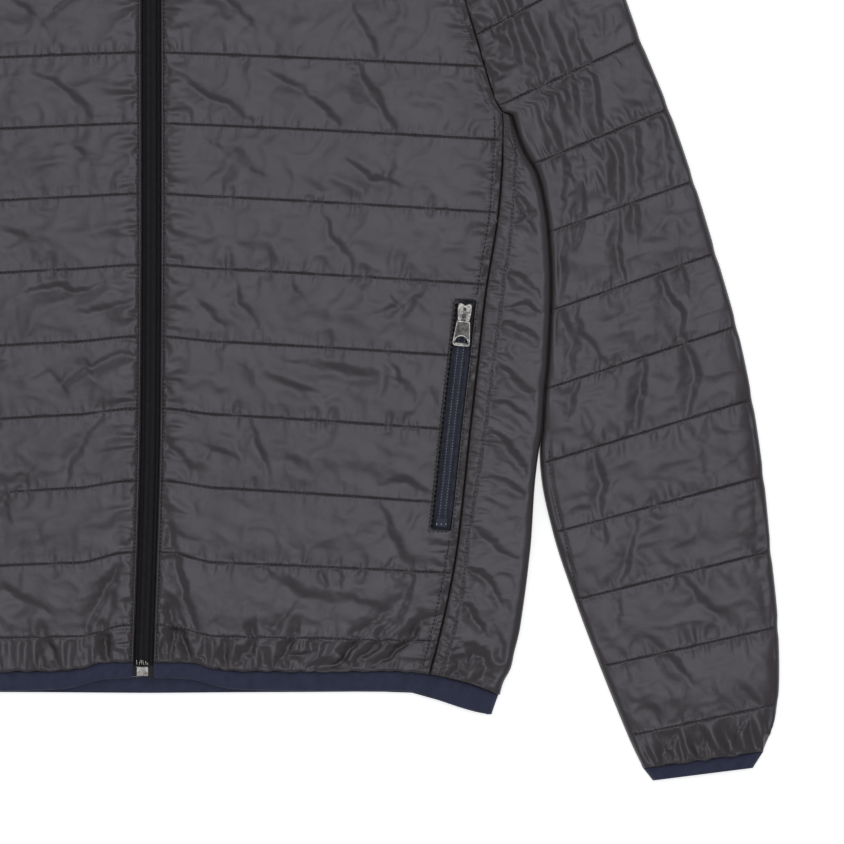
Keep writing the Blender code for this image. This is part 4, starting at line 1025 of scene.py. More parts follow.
def front_relief(rng, side, x, y, from_line, from_zip, from_seam):
    """Height of the front before it wrinkles: padding, grooves, drawn creases, small puckers."""
    past_stitches = from_zip - TOPSTITCH
    lift = puff(from_line) * rise(from_seam, 2.6)
    lift *= mix(0.35, 1.0, rise(past_stitches, 3.2))
    z = mix(LINE_TOP, CROWN_TOP, lift)
    z = np.where(from_zip < 0.8, z - 1.4 * (1 - from_zip / 0.8) ** 2, z)
    z -= 0.9 * pressed(past_stitches, 0.5)
    beyond_pocket = np.abs(y - (POCKET_TOP + POCKET_BOTTOM) / 2) > 78
    z -= 0.9 * pressed(from_seam - SEAM_STITCH, 0.75) * beyond_pocket
    z -= GROOVE_DEPTH * pressed(from_line, GROOVE_HALF)
    creases = LEFT_CREASES if side > 0 else RIGHT_CREASES
    drawn = crease_depth(creases, x, y, side, side) + crease_depth(HIDDEN_CREASES, x, y, side)
    if side < 0:
        outer_part = [crease for crease in LEFT_CREASES if min(point[0] for point in crease[2:]) > 100]
        drawn += crease_depth(outer_part, x, y, side)
    deeper = mix(1.0, 1.8, smooth((QUILT_LOWEST + 6 - y) / 10.0))
    z -= (drawn * deeper * rise(from_line, mix(3.0, 1.4, deeper - 1)) * rise(from_seam, 3.0)
          * rise(past_stitches, 2.5))
    z += 0.35 * noise_field(rng, x, y, 60.0) * lift
    z -= (0.26 * crumple(rng, x, y, 40.0, -32.0) + 0.14 * crumple(rng, x, y, 28.0, 20.0)) * lift
    z -= 0.30 * facets(rng, x, y, 52.0) * lift
    z -= line_puckers(rng, x, y, from_line)
    z -= 0.36 * ticks(rng, y, x, past_stitches, 5.0) * rise(past_stitches, 0.8)
    z -= 0.30 * ticks(rng, y, x, from_seam - SEAM_STITCH, 4.0) * smooth((from_seam - SEAM_STITCH) / 1.5)
    on_strip = smooth((SEAM_STITCH + 0.5 - from_seam) / 1.2)
    z -= 0.42 * rungs(rng, y, -from_seam, 4.4) * on_strip * rise(from_seam, 0.7)
    return z


def front_strain(rng, x, y, from_line, from_zip, from_seam):
    """How much too long the cloth is: a little all over, and more beside all that holds it."""
    patches = [noise_field(rng, x, y, scale) for scale in (70.0, 26.0, 18.0, 40.0)]
    main = slanted(0.003 * (1.0 + 0.9 * patches[3]), -24.0 + 26.0 * patches[0])
    pinch = pinched(from_line, patchy(patches[1], 0.9, middle=0.9), 12.0 * patches[2])
    zip_amount = 0.050 * fade(from_zip, 9.0) * patchy(patches[2], 0.8, middle=0.9)
    zip_pull = slanted(zip_amount, 90.0 + 25.0 * patches[1])
    seam_pull = slanted(0.045 * fade(from_seam, 7.0) * patchy(patches[1], 0.8), 90.0)
    hem_amount = 0.034 * smooth((QUILT_LOWEST - 2.0 - y) / 12.0) * patchy(patches[3], 0.9, high=2.4)
    hem_pull = slanted(hem_amount, mix(4.0, 48.0, smooth((x - 70.0) / 90.0)) + 14.0 * patches[1])
    return add_strains(main, pinch, zip_pull, seam_pull, hem_pull)


def front_panel(side):
    """Quilted front: channels, pocket opening, stitched edge beside the zip, gathers at the hem."""
    rng = np.random.default_rng(on_side(side, 11))
    x, y, line_y, hem_share, left, right, first_pocket = front_grid(side)
    along = (QUILT_TOP_LINE - line_y) / QUILT_PITCH % 1.0
    in_channel = np.minimum(along, 1 - along)[:, None] * QUILT_PITCH
    hem_height = quilt_y(QUILT_LOWEST, x) - hem_y(x)
    in_hem = np.minimum(hem_share, 1 - hem_share)[:, None] * hem_height
    from_line = np.where(hem_share[:, None] > 0, in_hem, in_channel) + np.zeros_like(x)
    from_zip = x - left[:, None]
    from_seam = right[:, None] - x
    z = front_relief(rng, side, x, y, from_line, from_zip, from_seam)
    base = np.stack([x, y, z], axis=-1)
    flat = np.stack([x, y], axis=-1)
    strain = front_strain(rng, x, y, from_line, from_zip, from_seam)

    near = np.minimum(np.minimum(from_line, from_zip), from_seam)
    wave = mix(WAVE_AT_LINE, 26.0, rise(near, WAVE_REACH))
    wave = np.where(y < quilt_y(QUILT_LOWEST, x) - 2, np.minimum(wave, GATHER_WAVE), wave)
    free = smooth(from_line / 1.2) * smooth((from_zip - TOPSTITCH - 0.2) / 1.4) * smooth(from_seam / 1.6)
    free *= smooth((SHOULDER_Y - 12 - y) / 50)
    row0, row1 = nearest(y[:, -1], POCKET_BOTTOM), nearest(y[:, -1], POCKET_TOP)
    col0, col1 = first_pocket, first_pocket + POCKET_COLUMNS
    free[row0:row1 + 1, col0:col1 + 1] = 0.0
    hold_rim(free)
    points = wrinkle(on_side(side, 21), base, flat, strain, wave, free)
    points[..., 2] = np.maximum(points[..., 2], LOWEST_TOP)
    lip = 0.35 * fade(np.abs(np.arange(x.shape[1]) - col0), 1.5)
    points[row0:row1 + 1, :, 2] += lip[None, :]
    inner = points.copy()
    inner[..., 2] = FRONT_UNDER + 0.05
    points[..., 1] -= overhang(x, y - hem_y(x))
    from_stitches = np.minimum(np.abs(from_seam - SEAM_STITCH), from_zip)
    piece = padded_piece("front_" + SIDE_NAMES[side], "front_panel_" + SIDE_NAMES[side], side,
                         points, inner, flat, fade(from_line, QUILT_HOLD), fade(from_stitches, SEAM_HOLD),
                         holes=[(row0, row1, col0, col1)])
    return piece


# ---------------------------------------------------------------- sleeves

SLEEVE_TURN_COLUMNS = 6     # round the fold beside the body
SLEEVE_TOP_COLUMNS = 88
SLEEVE_FOLD_COLUMNS = 11    # round the outer fold
SLEEVE_UNDER_COLUMNS = 24
ARMHOLE_GAP = 0.12
FOLD_REACH = 3.4        # how far in from the outer fold the cloth starts to turn
BODY_REACH = 5.0        # the same beside the body


def sleeve_rows():
    """Places along the sleeve, counted in stitched lines from the shoulder, and distances to them."""
    middles = [((row[0] + row[2]) / 2, (row[1] + row[3]) / 2) for row in SLEEVE_LINES]
    places, from_line = [], []
    for line in range(len(SLEEVE_LINES) - 1, 0, -1):
        pitch = math.dist(middles[line], middles[line - 1])
        for step in channel_rows(pitch)[:-1] if line == 1 else channel_rows(pitch):
            places.append(line - step / pitch)
            from_line.append(min(step, pitch - step))
    return np.array(places), np.array(from_line)


def sleeve_ends(places):
    """Points on the inner and on the outer edge of the sleeve, at places along it."""
    ends = [curve([(i, row[column]) for i, row in enumerate(SLEEVE_LINES)])(places) for column in range(4)]
    return np.stack(ends[:2], axis=1), np.stack(ends[2:], axis=1)


def sleeve_section(width, low_y, is_open, from_line):
    """Places across the sleeve, heights and shares of the upper face, all round the flat tube."""
    lift = puff(from_line)
    reach = np.minimum(FOLD_REACH, width * 0.3)
    far = width - reach
    near = mix(np.minimum(BODY_REACH, width * 0.3), 1.2, is_open)
    rest = UNDER_GROOVE * fade(from_line, 2.0)
    fold_top = mix(LINE_TOP - 0.5, FOLD_TOP, lift)
    middle = (fold_top + rest) / 2
    beside_body = smooth((low_y + 215.0) / 22.0) * (1 - is_open)
    near_middle = mix(middle, SLEEVE_FOLD_MIDDLE, beside_body)
    crown = mix(LINE_TOP, CROWN_TOP, lift)

    def top_z(u):
        near_height = mix(fold_top, LINE_TOP - 0.3, is_open)
        z = mix(near_height, crown, rise(u - near, mix(6.0, 2.2, is_open)))
        return mix(fold_top, z, rise(far - u, 3.5))

    section = Section(len(width))
    start_z = mix(near_middle, FRONT_UNDER + 0.1, is_open)
    for i in range(SLEEVE_TURN_COLUMNS):
        turn = math.pi / 2 * i / SLEEVE_TURN_COLUMNS
        height = start_z + (top_z(near) - start_z) * math.sin(turn)
        section.add(near * (1 - math.cos(turn)), height, i / SLEEVE_TURN_COLUMNS)
    for i in range(SLEEVE_TOP_COLUMNS):
        u = mix(near, far, i / SLEEVE_TOP_COLUMNS)
        section.add(u, top_z(u), 1.0)
    for i in range(SLEEVE_FOLD_COLUMNS):
        turn = math.pi * (0.5 - i / (SLEEVE_FOLD_COLUMNS - 1))
        height = np.where(math.sin(turn) > 0, top_z(far) - middle, middle - rest)
        section.add(far + reach * math.cos(turn), middle + height * math.sin(turn), max(0.0, 1 - i / 5))
    for i in range(1, SLEEVE_UNDER_COLUMNS):
        section.add(mix(far, near, i / SLEEVE_UNDER_COLUMNS), rest, 0.0)
    end_z = mix(near_middle, BACK_TOP - 0.2, is_open)
    for i in range(SLEEVE_TURN_COLUMNS):
        turn = math.pi / 2 * (1 - i / SLEEVE_TURN_COLUMNS)
        section.add(near * (1 - math.cos(turn)), end_z - (end_z - rest) * math.sin(turn), 0.0)
    return section.grids()


def sleeve(side):
    """Flattened quilted tube, open along the armhole above the underarm."""
    rng = np.random.default_rng(on_side(side, 31))
    places, from_line = sleeve_rows()
    last_line = len(SLEEVE_LINES) - 1
    low, high = sleeve_ends(places)
    is_open = smooth((low[:, 1] - 35.5) / 3.5)
    touching = smooth((low[:, 1] + 190.0) / 22.0)
    beside = mix(low[:, 0], side_fold_x(low[:, 1]), touching)
    low[:, 0] = mix(beside, front_seam_x(low[:, 1]) + ARMHOLE_GAP, is_open)
    inward = (low - high) / np.linalg.norm(low - high, axis=1, keepdims=True)
    high += inward * (SCALLOP * (1 - smooth(from_line / 9.0)))[:, None]
    width = np.linalg.norm(high - low, axis=1)
    u, z, shares = sleeve_section(width, low[:, 1], is_open, from_line)

    place = per_row(places, u)
    lift, opening = per_row(puff(from_line), u), per_row(is_open, u)
    along = (high - low) / width[:, None]
    x = low[:, 0, None] + along[:, 0, None] * u
    y = low[:, 1, None] + along[:, 1, None] * u
    from_line = from_line[:, None] + np.zeros_like(x)
    from_outer = width[:, None] - u
    from_edge = np.minimum(u, from_outer)
    on_top = shares[None, :] + np.zeros_like(x)
    all_top = on_top == 1.0

    z -= on_top * GROOVE_DEPTH * pressed(from_line, GROOVE_HALF)
    drawn = crease_depth(SLEEVE_CREASES, x, y, side)
    z -= drawn * rise(from_line, 3.0) * smooth((from_edge - 2.0) / 6.0) * all_top
    on_face = all_top * smooth((from_edge - 1.0) / 6.0)
    z -= line_puckers(rng, u, place * QUILT_PITCH + 0 * u, from_line) * on_face
    z -= 0.24 * crumple(rng, x, y, 38.0, -18.0) * lift * on_face
    z -= 0.30 * facets(rng, x, y, 48.0) * lift * on_face
    seam_u = sleeve_seam_u(y)
    shows = smooth((-172 - y) / 10) * smooth((y + 292) / 14)
    seam = on_top * pressed(u - seam_u, 0.8) * shows
    z -= 0.9 * seam * all_top
    strip = shows * (u < seam_u) * smooth((from_edge - 1.2) / 1.5) * all_top
    z -= (0.45 * rungs(rng, y, u, 5.2) + 0.5 * (1 - smooth(from_edge / 6.0))) * strip
    z -= 1.3 * pressed(from_outer, 7.0) * on_top * smooth((-50 - y) / 90)
    z += 0.35 * noise_field(rng, x, y, 55.0) * rise(from_line, 3.0) * all_top
    base = np.stack([x, y, z], axis=-1)
    arc = length_along(base, axis=1)
    flat = np.stack([arc, length_along((low + high) / 2)[:, None] + np.zeros_like(arc)], axis=-1)

    patches = [noise_field(rng, flat[..., 0], flat[..., 1], scale) for scale in (70.0, 24.0, 17.0, 40.0)]
    upper_inner = smooth((y + 60) / 80) * smooth((90 - u) / 60)
    main = slanted((0.006 + 0.016 * upper_inner) * (1.0 + 0.9 * patches[3]), -4.0 + 18.0 * patches[0])
    pinch = pinched(from_line, patchy(patches[1], 0.9), 12.0 * patches[2])
    armhole = slanted(0.05 * fade(u, 8.0) * opening * patchy(patches[1], 0.8, high=2.0), 90.0)
    edge = slanted(0.006 * fade(from_outer, 12.0) * patchy(patches[2], 1.0, 0.0, 2.0), 90.0)
    in_cuff = smooth((place - (last_line - 1) - 0.1) / 0.5)
    cuff = slanted(0.085 * in_cuff * patchy(patches[3], 0.6, 0.2, 2.0), 12.0 * patches[1])
    strain = add_strains(main, pinch, armhole, edge, cuff)
    near = np.minimum(from_line, np.where(opening > 0.5, u, 99.0))
    wave = mix(WAVE_AT_LINE, 24.0, rise(near, WAVE_REACH))
    wave = np.where(place > last_line - 1, np.minimum(wave, GATHER_WAVE), wave)
    free = smooth(from_line / 1.2) * smooth(on_top * 1.4)
    free *= mix(1.0, smooth(u / 2.5), opening)
    free *= 1 - 0.95 * seam
    free *= smooth((200 - y) / 40)
    hold_rim(free)
    points = wrinkle(on_side(side, 41), base, flat, strain, wave, free)
    keep_above_inside(points, base)
    points[..., 1] -= overhang(x, (last_line - place) * 24.0 + 0 * x) * on_face

    inside = np.clip(u, np.minimum(3.5, width * 0.3)[:, None] * (1 - opening),
                     np.maximum(width - 3.5, width * 0.7)[:, None])
    turn_col = SLEEVE_TURN_COLUMNS + SLEEVE_TOP_COLUMNS + SLEEVE_FOLD_COLUMNS // 2 - 1
    upper = (np.arange(len(shares)) <= turn_col)[None, :]
    inner = np.stack([low[:, 0, None] + along[:, 0, None] * inside,
                      low[:, 1, None] + along[:, 1, None] * inside,
                      np.where(upper, FRONT_UNDER, BACK_TOP) + np.zeros_like(x)], axis=-1)
    first, last = SLEEVE_TURN_COLUMNS, len(shares) - SLEEVE_TURN_COLUMNS
    piece = padded_piece("sleeve_shell_" + SIDE_NAMES[side], "sleeve_" + SIDE_NAMES[side], side,
                         points, inner, flat, fade(from_line, QUILT_HOLD) * on_top, 0 * x,
                         ring_rows=int(np.argmax(is_open > 0.02)),
                         keep_cols=(first - 1, first, turn_col, turn_col + 1, last))
    return piece


# ---------------------------------------------------------------- side panels

SIDE_ROWS = 420
SIDE_FOLD_COLUMNS = 12
SIDE_EDGE = ((0.0, 3.6), (0.25, 1.8), (0.7, 0.5))   # distance from the front seam, drop of the cloth
SIDE_FOLD_REACH = 6.5   # how far in from the folded side the cloth starts to turn


def side_section(seam, stitches, turn, reach, back):
    """Places across the side panel, heights and shares of the upper face, and its last top column."""
    section = Section(len(seam))
    top = FOLD_TOP + 0.3
    roll = np.minimum(1.0, (turn - seam) / 12.0)
    for step, drop in SIDE_EDGE:
        section.add(seam + step * roll, LINE_TOP - drop, 0.0)
    stretches = ((seam + 1.2 * roll, stitches - 0.7, 7), (stitches - 0.7, stitches, 1),
                 (stitches, stitches + 0.7, 1), (stitches + 0.7, turn, 25))
    for low, high, steps in stretches:
        for i in range(steps):
            x = mix(low, high, i / steps)
            section.add(x, mix(LINE_TOP - 0.2, top, rise(x - seam, 2.4)), 1.0)
    last_top = len(section.places) + SIDE_FOLD_COLUMNS // 2 - 1
    for i in range(SIDE_FOLD_COLUMNS):
        angle = math.pi * (0.5 - i / (SIDE_FOLD_COLUMNS - 1))
        half = top - BODY_FOLD_MIDDLE if angle > 0 else BODY_FOLD_MIDDLE - UNDER_Z
        section.add(turn + reach * math.cos(angle), BODY_FOLD_MIDDLE + half * math.sin(angle),
                    max(0.0, 1 - i / 6))
    for i in range(1, 11):
        section.add(mix(turn, back, i / 10), UNDER_Z, 0.0)
    return *section.grids(), last_top


def side_panel(side):
    """Plain panel from the front seam round the folded side to the back seam."""
    rng = np.random.default_rng(on_side(side, 51))
    heights = np.linspace(SIDE_BOTTOM, UNDERARM_Y, SIDE_ROWS)
    near_hem = smooth((-300 - heights) / 38)
    near_arm = smooth((heights - 16.0) / (UNDERARM_Y - 16.0))

    def row_y(x):
        dip = per_row(near_arm, x) * np.clip(0.463 * (x - 230.9) - 0.4, -0.4, 2.6)
        height = per_row(heights, x)
        return mix(height, hem_y(x) + (height - SIDE_BOTTOM), per_row(near_hem, x)) - dip

    fold = side_fold_x(np.maximum(heights - 2.5 * near_arm, -340.0)) + BODY_FOLD_OUT
    seam = meet(front_seam_x, row_y, np.full(len(heights), 205.0)) + 0.2
    back = meet(back_seam_x, row_y, np.full(len(heights), 215.0)) + 0.1
    reach = np.minimum(SIDE_FOLD_REACH, (fold - seam) * 0.6)
    turn = fold - reach
    back = np.minimum(back, turn - 0.5)
    stitches = np.clip(meet(side_stitch_x, row_y, np.full(len(heights), 225.0)), seam + 2.5, turn - 1.5)
    x, z, shares, last_top = side_section(seam, stitches, turn, reach, back)
    y = row_y(x)
    z[:, -1] = 1.2

    on_top = shares[None, :] + np.zeros_like(x)
    all_top = on_top == 1.0
    from_seam = x - seam[:, None]
    stitch = side_stitch_x(y) - x
    from_stitch = np.abs(stitch)
    z -= on_top * 0.75 * pressed(stitch, 0.7)
    strip = smooth((stitch + 0.6) / 1.0) * rise(from_seam, 0.7)
    z -= on_top * 0.55 * rungs(rng, y, from_seam, 4.2) * strip
    z -= on_top * 0.40 * ticks(rng, y, x, -stitch, 5.0) * smooth(-stitch / 1.2)
    across_strip = np.clip(from_seam / (from_seam + np.maximum(stitch, 0.5)), 0, 1)
    z += 0.12 * strip * np.sin(math.pi * across_strip) * on_top
    z -= crease_depth(SIDE_CREASES, x, y, side) * all_top * rise(from_stitch, 2.0) * rise(from_seam, 2.0)
    dents = 0.22 * crumple(rng, x, y, 34.0, -40.0) + 0.26 * facets(rng, x, y, 40.0)
    z -= dents * all_top * rise(from_stitch, 3.0)
    base = np.stack([x, y, z], axis=-1)
    flat = np.stack([length_along(base, axis=1), y], axis=-1)

    patches = [noise_field(rng, x, y, scale) for scale in (60.0, 20.0, 14.0, 34.0)]
    near = np.minimum(from_stitch, from_seam)
    main = slanted(0.007 * (1.0 + 0.9 * patches[3]), -44.0 + 22.0 * patches[0])
    pinch = slanted(PINCH * fade(near, 3.6) * patchy(patches[1], 0.9), 90.0 + 10 * patches[2])
    in_hem = smooth((-306 - heights[:, None]) / 16)
    hem_pull = slanted(0.04 * in_hem * patchy(patches[3], 0.6, 0.2, 2.0), 20.0)
    strain = add_strains(main, pinch, hem_pull)
    wave = mix(WAVE_AT_LINE, 22.0, rise(near, 8.0))
    free = smooth(from_seam / 2.0) * smooth(on_top * 1.5) * smooth(from_stitch / 1.5)
    hold_rim(free)
    points = wrinkle(on_side(side, 61), base, flat, strain, wave, free, cap=1.8)
    keep_above_inside(points, base)
    upper = (np.arange(len(shares)) <= last_top)[None, :]
    inside = np.minimum(x, np.maximum(fold - 4.0, back + 0.6)[:, None])
    inner = np.stack([inside, y, np.where(upper, FRONT_UNDER, BACK_TOP) + np.zeros_like(x)], axis=-1)
    piece = padded_piece("side_shell_" + SIDE_NAMES[side], "side_panel_" + SIDE_NAMES[side], side,
                         points, inner, flat, 0 * x, fade(near, SEAM_HOLD) * on_top,
                         keep_cols=(last_top, last_top + 1))
    return piece


# ---------------------------------------------------------------- back, collar and bindings


def back_panel():
    """Back, face down: stitched channels on the side that rests, plain inside."""
    low_zone = -290.0
    heights = np.arange(low_zone, SHOULDER_Y + 0.5, 3.1)
    heights = np.append(heights[heights < SHOULDER_Y - 1.5], SHOULDER_Y)
    shares = np.linspace(0.0, 1.0, 14)[:-1]
    lower = np.concatenate([1 - shares, np.zeros(len(heights))])
    heights = np.concatenate([np.full(len(shares), low_zone), heights])
    bend = smooth((heights - 230) / (SHOULDER_Y - 230)) * BACK_NECK_DIP

    def row_y(x):
        plain = per_row(heights, x) - per_row(bend, x) * np.maximum(0.0, 1 - (x / NECK_HALF) ** 2)
        return mix(plain, back_hem_y(np.abs(x)), per_row(lower, x))

    edge = meet(back_edge_x, row_y, np.full(len(heights), 190.0))
    edge += mix(-0.1, 0.25, smooth((heights - UNDERARM_Y) / 10.0))
    shares = np.linspace(-1.0, 1.0, 142)
    x = edge[:, None] * shares[None, :]
    y = row_y(x)
    first_line = QUILT_TOP_LINE - QUILT_DROP
    along = (first_line - y) / QUILT_PITCH % 1.0
    from_line = np.minimum(along, 1 - along) * QUILT_PITCH
    from_edge = edge[:, None] - np.abs(x)
    z = UNDER_Z + UNDER_GROOVE * fade(from_line, 2.2) + 1.2 * fade(from_edge, 1.5)
    outer = np.stack([x, y, z], axis=-1)
    inner = np.stack([x, y, np.full_like(x, BACK_TOP)], axis=-1)
    piece = shell("back_shell", outer, inner, np.stack([x, y], axis=-1))
    finish_piece(piece, SHELL, "shell", "back_panel")


COLLAR_FOLD_COLUMNS = 12
COLLAR_FOLD_REACH = 5.0
COLLAR_NECK_GAP = 0.7   # between the neckline and the collar


def collar_half(side, base_a, base_b, shares, on_line):
    """Columns of half the collar, from the zip round the fold to the middle of the back."""
    edge = ZIP_GAP / 2 + side * zip_middle_x(280) + SEAM_GAP
    first = math.degrees(math.asin(edge / base_a))
    degrees = np.concatenate([[first], np.linspace(first + 0.4, 80.0, 84)])
    lift = rise(on_line, 2.3)
    columns, kinds = [], []
    for angle in np.radians(degrees):
        x = np.maximum(edge, (base_a - COLLAR_LEAN * shares) * math.sin(angle))
        y = SHOULDER_Y + shares * COLLAR_HEIGHT - base_b * math.cos(angle)
        columns.append((x, y, mix(LINE_TOP - 1.0, CROWN_TOP - 0.8, lift * rise(x - edge + 0.6, 1.6))))
        kinds.append(1.0)
    fold_x = base_a - COLLAR_LEAN * shares + 3.0
    half_height = mix(LINE_TOP - 1.0, FOLD_TOP - 0.2, lift) / 2
    back_base = SHOULDER_Y + SEAM_GAP
    for i in range(COLLAR_FOLD_COLUMNS):
        turn = math.pi * (0.5 - i / (COLLAR_FOLD_COLUMNS - 1))
        columns.append((fold_x - COLLAR_FOLD_REACH + COLLAR_FOLD_REACH * math.cos(turn),
                        back_base + shares * COLLAR_HEIGHT, half_height + half_height * math.sin(turn)))
        kinds.append(max(0.0, 1 - i / 6))
    back_z = UNDER_Z + UNDER_GROOVE * np.exp(-np.abs(shares - 0.5) * COLLAR_HEIGHT / 2.0)
    for i in range(1, 31):
        x = mix(fold_x - COLLAR_FOLD_REACH, 0.0, i / 30)
        dip = BACK_NECK_DIP * (1 - (x / NECK_HALF) ** 2)
        top = mix(SHOULDER_Y + COLLAR_HEIGHT, BACK_COLLAR_TOP, smooth(i / 30))
        columns.append((x, mix(back_base - dip, top, shares), back_z))
        kinds.append(0.0)
    grid = np.stack([np.stack(column, axis=-1) for column in columns])
    return grid * (side, 1, 1), np.array(kinds), len(degrees) + COLLAR_FOLD_COLUMNS // 2


def joined(left, right):
    """Two halves of a strip that meet in the middle of the back, as one."""
    return np.concatenate([left, right[-2::-1]])


def collar():
    """Stand collar, parted at the zip and folded at both sides of the neck."""
    rng = np.random.default_rng(71)
    base_a, base_b = NECK_HALF - COLLAR_NECK_GAP, NECK_DEPTH - COLLAR_NECK_GAP
    shares = np.concatenate([[0.0, 0.012], np.linspace(0.03, 0.97, 44), [0.988, 1.0]])
    on_line = np.minimum(np.abs(shares - 0.5), np.minimum(shares, 1 - shares)) * COLLAR_HEIGHT
    left, kinds, upper_count = collar_half(1, base_a, base_b, shares, on_line)
    right, _, _ = collar_half(-1, base_a, base_b, shares, on_line)
    outer = joined(left, right)
    kind = joined(kinds, kinds)[:, None] + np.zeros(outer.shape[:2])
    arc = length_along(outer)
    flat = np.stack([arc, shares[None, :] * COLLAR_HEIGHT + np.zeros_like(arc)], axis=-1)
    from_line = on_line[None, :] + np.zeros_like(arc)
    patches = [noise_field(rng, flat[..., 0], flat[..., 1], scale) for scale in (60.0, 22.0)]
    main = slanted(0.010 * (1 + 0.9 * patches[0]), 20.0 * patches[1])
    pinch = slanted(0.055 * fade(from_line, 4.5) * patchy(patches[1], 1.0), 0.0)
    wave = mix(WAVE_AT_LINE, 20.0, rise(from_line, WAVE_REACH))
    free = smooth(from_line / 1.4) * smooth(kind * 1.4)
    free[0] = free[-1] = 0.0
    points = wrinkle(72, outer, flat, add_strains(main, pinch), wave, free, cap=1.8)
    keep_above_inside(points, outer)
    upper = np.arange(len(kinds)) < upper_count
    inner = outer.copy()
    limit = (base_a - COLLAR_LEAN * shares + 3.0 - 4.0)[None, :]
    inner[..., 0] = np.clip(outer[..., 0], -limit, limit)
    inner[..., 2] = np.where(joined(upper, upper)[:, None], FRONT_UNDER, BACK_TOP)
    piece = shell("collar_shell", points, inner, flat, row_step=9, col_step=8)
    finish_piece(piece, SHELL, "shell", "collar")


BINDING_TOP = 7.6
BINDING_UNDER = FRONT_UNDER + 0.3       # lower edge of a binding's upper face
BINDING_OVER = BACK_TOP - 0.4           # upper edge of its lower face
BINDING_REACH = 4.0                     # how far in from its fold it starts to turn
BINDING_FACE = 6.4                      # no wave reaches below this height


def binding_section(top, low):
    """Shares across a binding and heights: its seam edge, flat face and rounded free edge."""
    shares = np.array([0.0, 0.012, 0.05, 0.15, 0.3, 0.45, 0.6, 0.75, 0.88, 0.95, 0.985, 1.0])
    depth = np.array([1.0, 0.45, 0.14, 0.02, 0.0, 0.0, 0.0, 0.0, 0.03, 0.14, 0.42, 1.0])
    return shares, top - (top - low) * depth


def binding_waves(rng, outer, flat, short, long):
    """Small uneven waves on the upper face of a binding, each size and height."""
    waves = noise_field(rng, flat[..., 0], flat[..., 1] * 0.4, short[0]) * short[1]
    if long:
        waves += noise_field(rng, flat[..., 0], flat[..., 1] * 0.2, long[0]) * long[1]
    outer[..., 2] += waves * smooth((outer[..., 2] - BINDING_FACE) / 0.6)


def hem_half(side):
    """Outer and inner grid of half the hem binding, from the zip round the fold to the back."""
    start = ZIP_GAP / 2 + side * zip_middle_x(-325) + SEAM_GAP
    shares, heights = binding_section(BINDING_TOP, BINDING_UNDER)
    _, under = binding_section(UNDER_Z, BINDING_OVER)
    fold = mix(HEM_FOLD_X[0], HEM_FOLD_X[1], shares)
    rows, inners = [], []

    def add(x, y, z, inner_x, inner_z):
        rows.append(np.stack([x, y, z], axis=-1))
        inners.append(np.stack([inner_x, y, np.full_like(x, inner_z)], axis=-1))

    for i in range(150):
        x = mix(start, fold - BINDING_REACH, i / 150)
        add(x, mix(hem_y(x) - CLOSE_SEAM, hem_free_y(x), shares), heights, x, FRONT_UNDER)
    middle, half = (heights + under) / 2, (heights - under) / 2
    for i in range(13):
        turn = math.pi * (0.5 - i / 12)
        x = fold - BINDING_REACH + BINDING_REACH * math.cos(turn)
        y = mix(hem_y(x) - CLOSE_SEAM, hem_free_y(x), shares)
        inner_z = FRONT_UNDER if i <= 6 else BACK_TOP
        add(x, y, middle + half * math.sin(turn), np.minimum(x, fold - 3.0), inner_z)
    for i in range(1, 61):
        x = mix(fold - BINDING_REACH, 0.0, i / 60)
        add(x, mix(back_hem_y(x) - CLOSE_SEAM, back_hem_free_y(x), shares), under, x, BACK_TOP)
    return np.stack(rows) * (side, 1, 1), np.stack(inners) * (side, 1, 1), shares


def hem_binding():
    """Elastic strip along the hem, parted at the front zip and folded at both sides."""
    rng = np.random.default_rng(81)
    left, left_inner, shares = hem_half(1)
    right, right_inner, _ = hem_half(-1)
    outer, inner = joined(left, right), joined(left_inner, right_inner)
    arc = length_along(outer[:, 5])
    blank = np.zeros(outer.shape[:2])
    flat = np.stack([arc[:, None] + blank, shares[None, :] * 11.0 + blank], axis=-1)
    binding_waves(rng, outer, flat, (9.0, 0.22), (45.0, 0.3))
    piece = shell("hem_elastic", outer, inner, flat, row_step=5, col_step=4, keep_cols=(1,))
    finish_piece(piece, BINDING, "binding", "hem_binding")


def cuff_section(width, top, low):
    """Distance across the cuff, height and whether it is on the upper face, all round the ring."""
    reach = BINDING_REACH
    middle, half = (top + low) / 2, (top - low) / 2
    section = []
    for i in range(6):
        turn = math.pi / 2 * i / 6
        section.append((reach * (1 - math.cos(turn)), middle + half * math.sin(turn), 1))
    for i in range(44):
        section.append((mix(reach, width - reach, i / 44), top, 1))
    for i in range(12):
        turn = math.pi * (0.5 - i / 11)
        section.append((width - reach + reach * math.cos(turn), middle + half * math.sin(turn), i < 6))
    for i in range(1, 20):
        section.append((mix(width - reach, reach, i / 20), low, 0))
    for i in range(6):
        turn = math.pi / 2 * (1 - i / 6)
        section.append((reach * (1 - math.cos(turn)), middle - half * math.sin(turn), 0))
    return (np.array(column, float) for column in zip(*section))


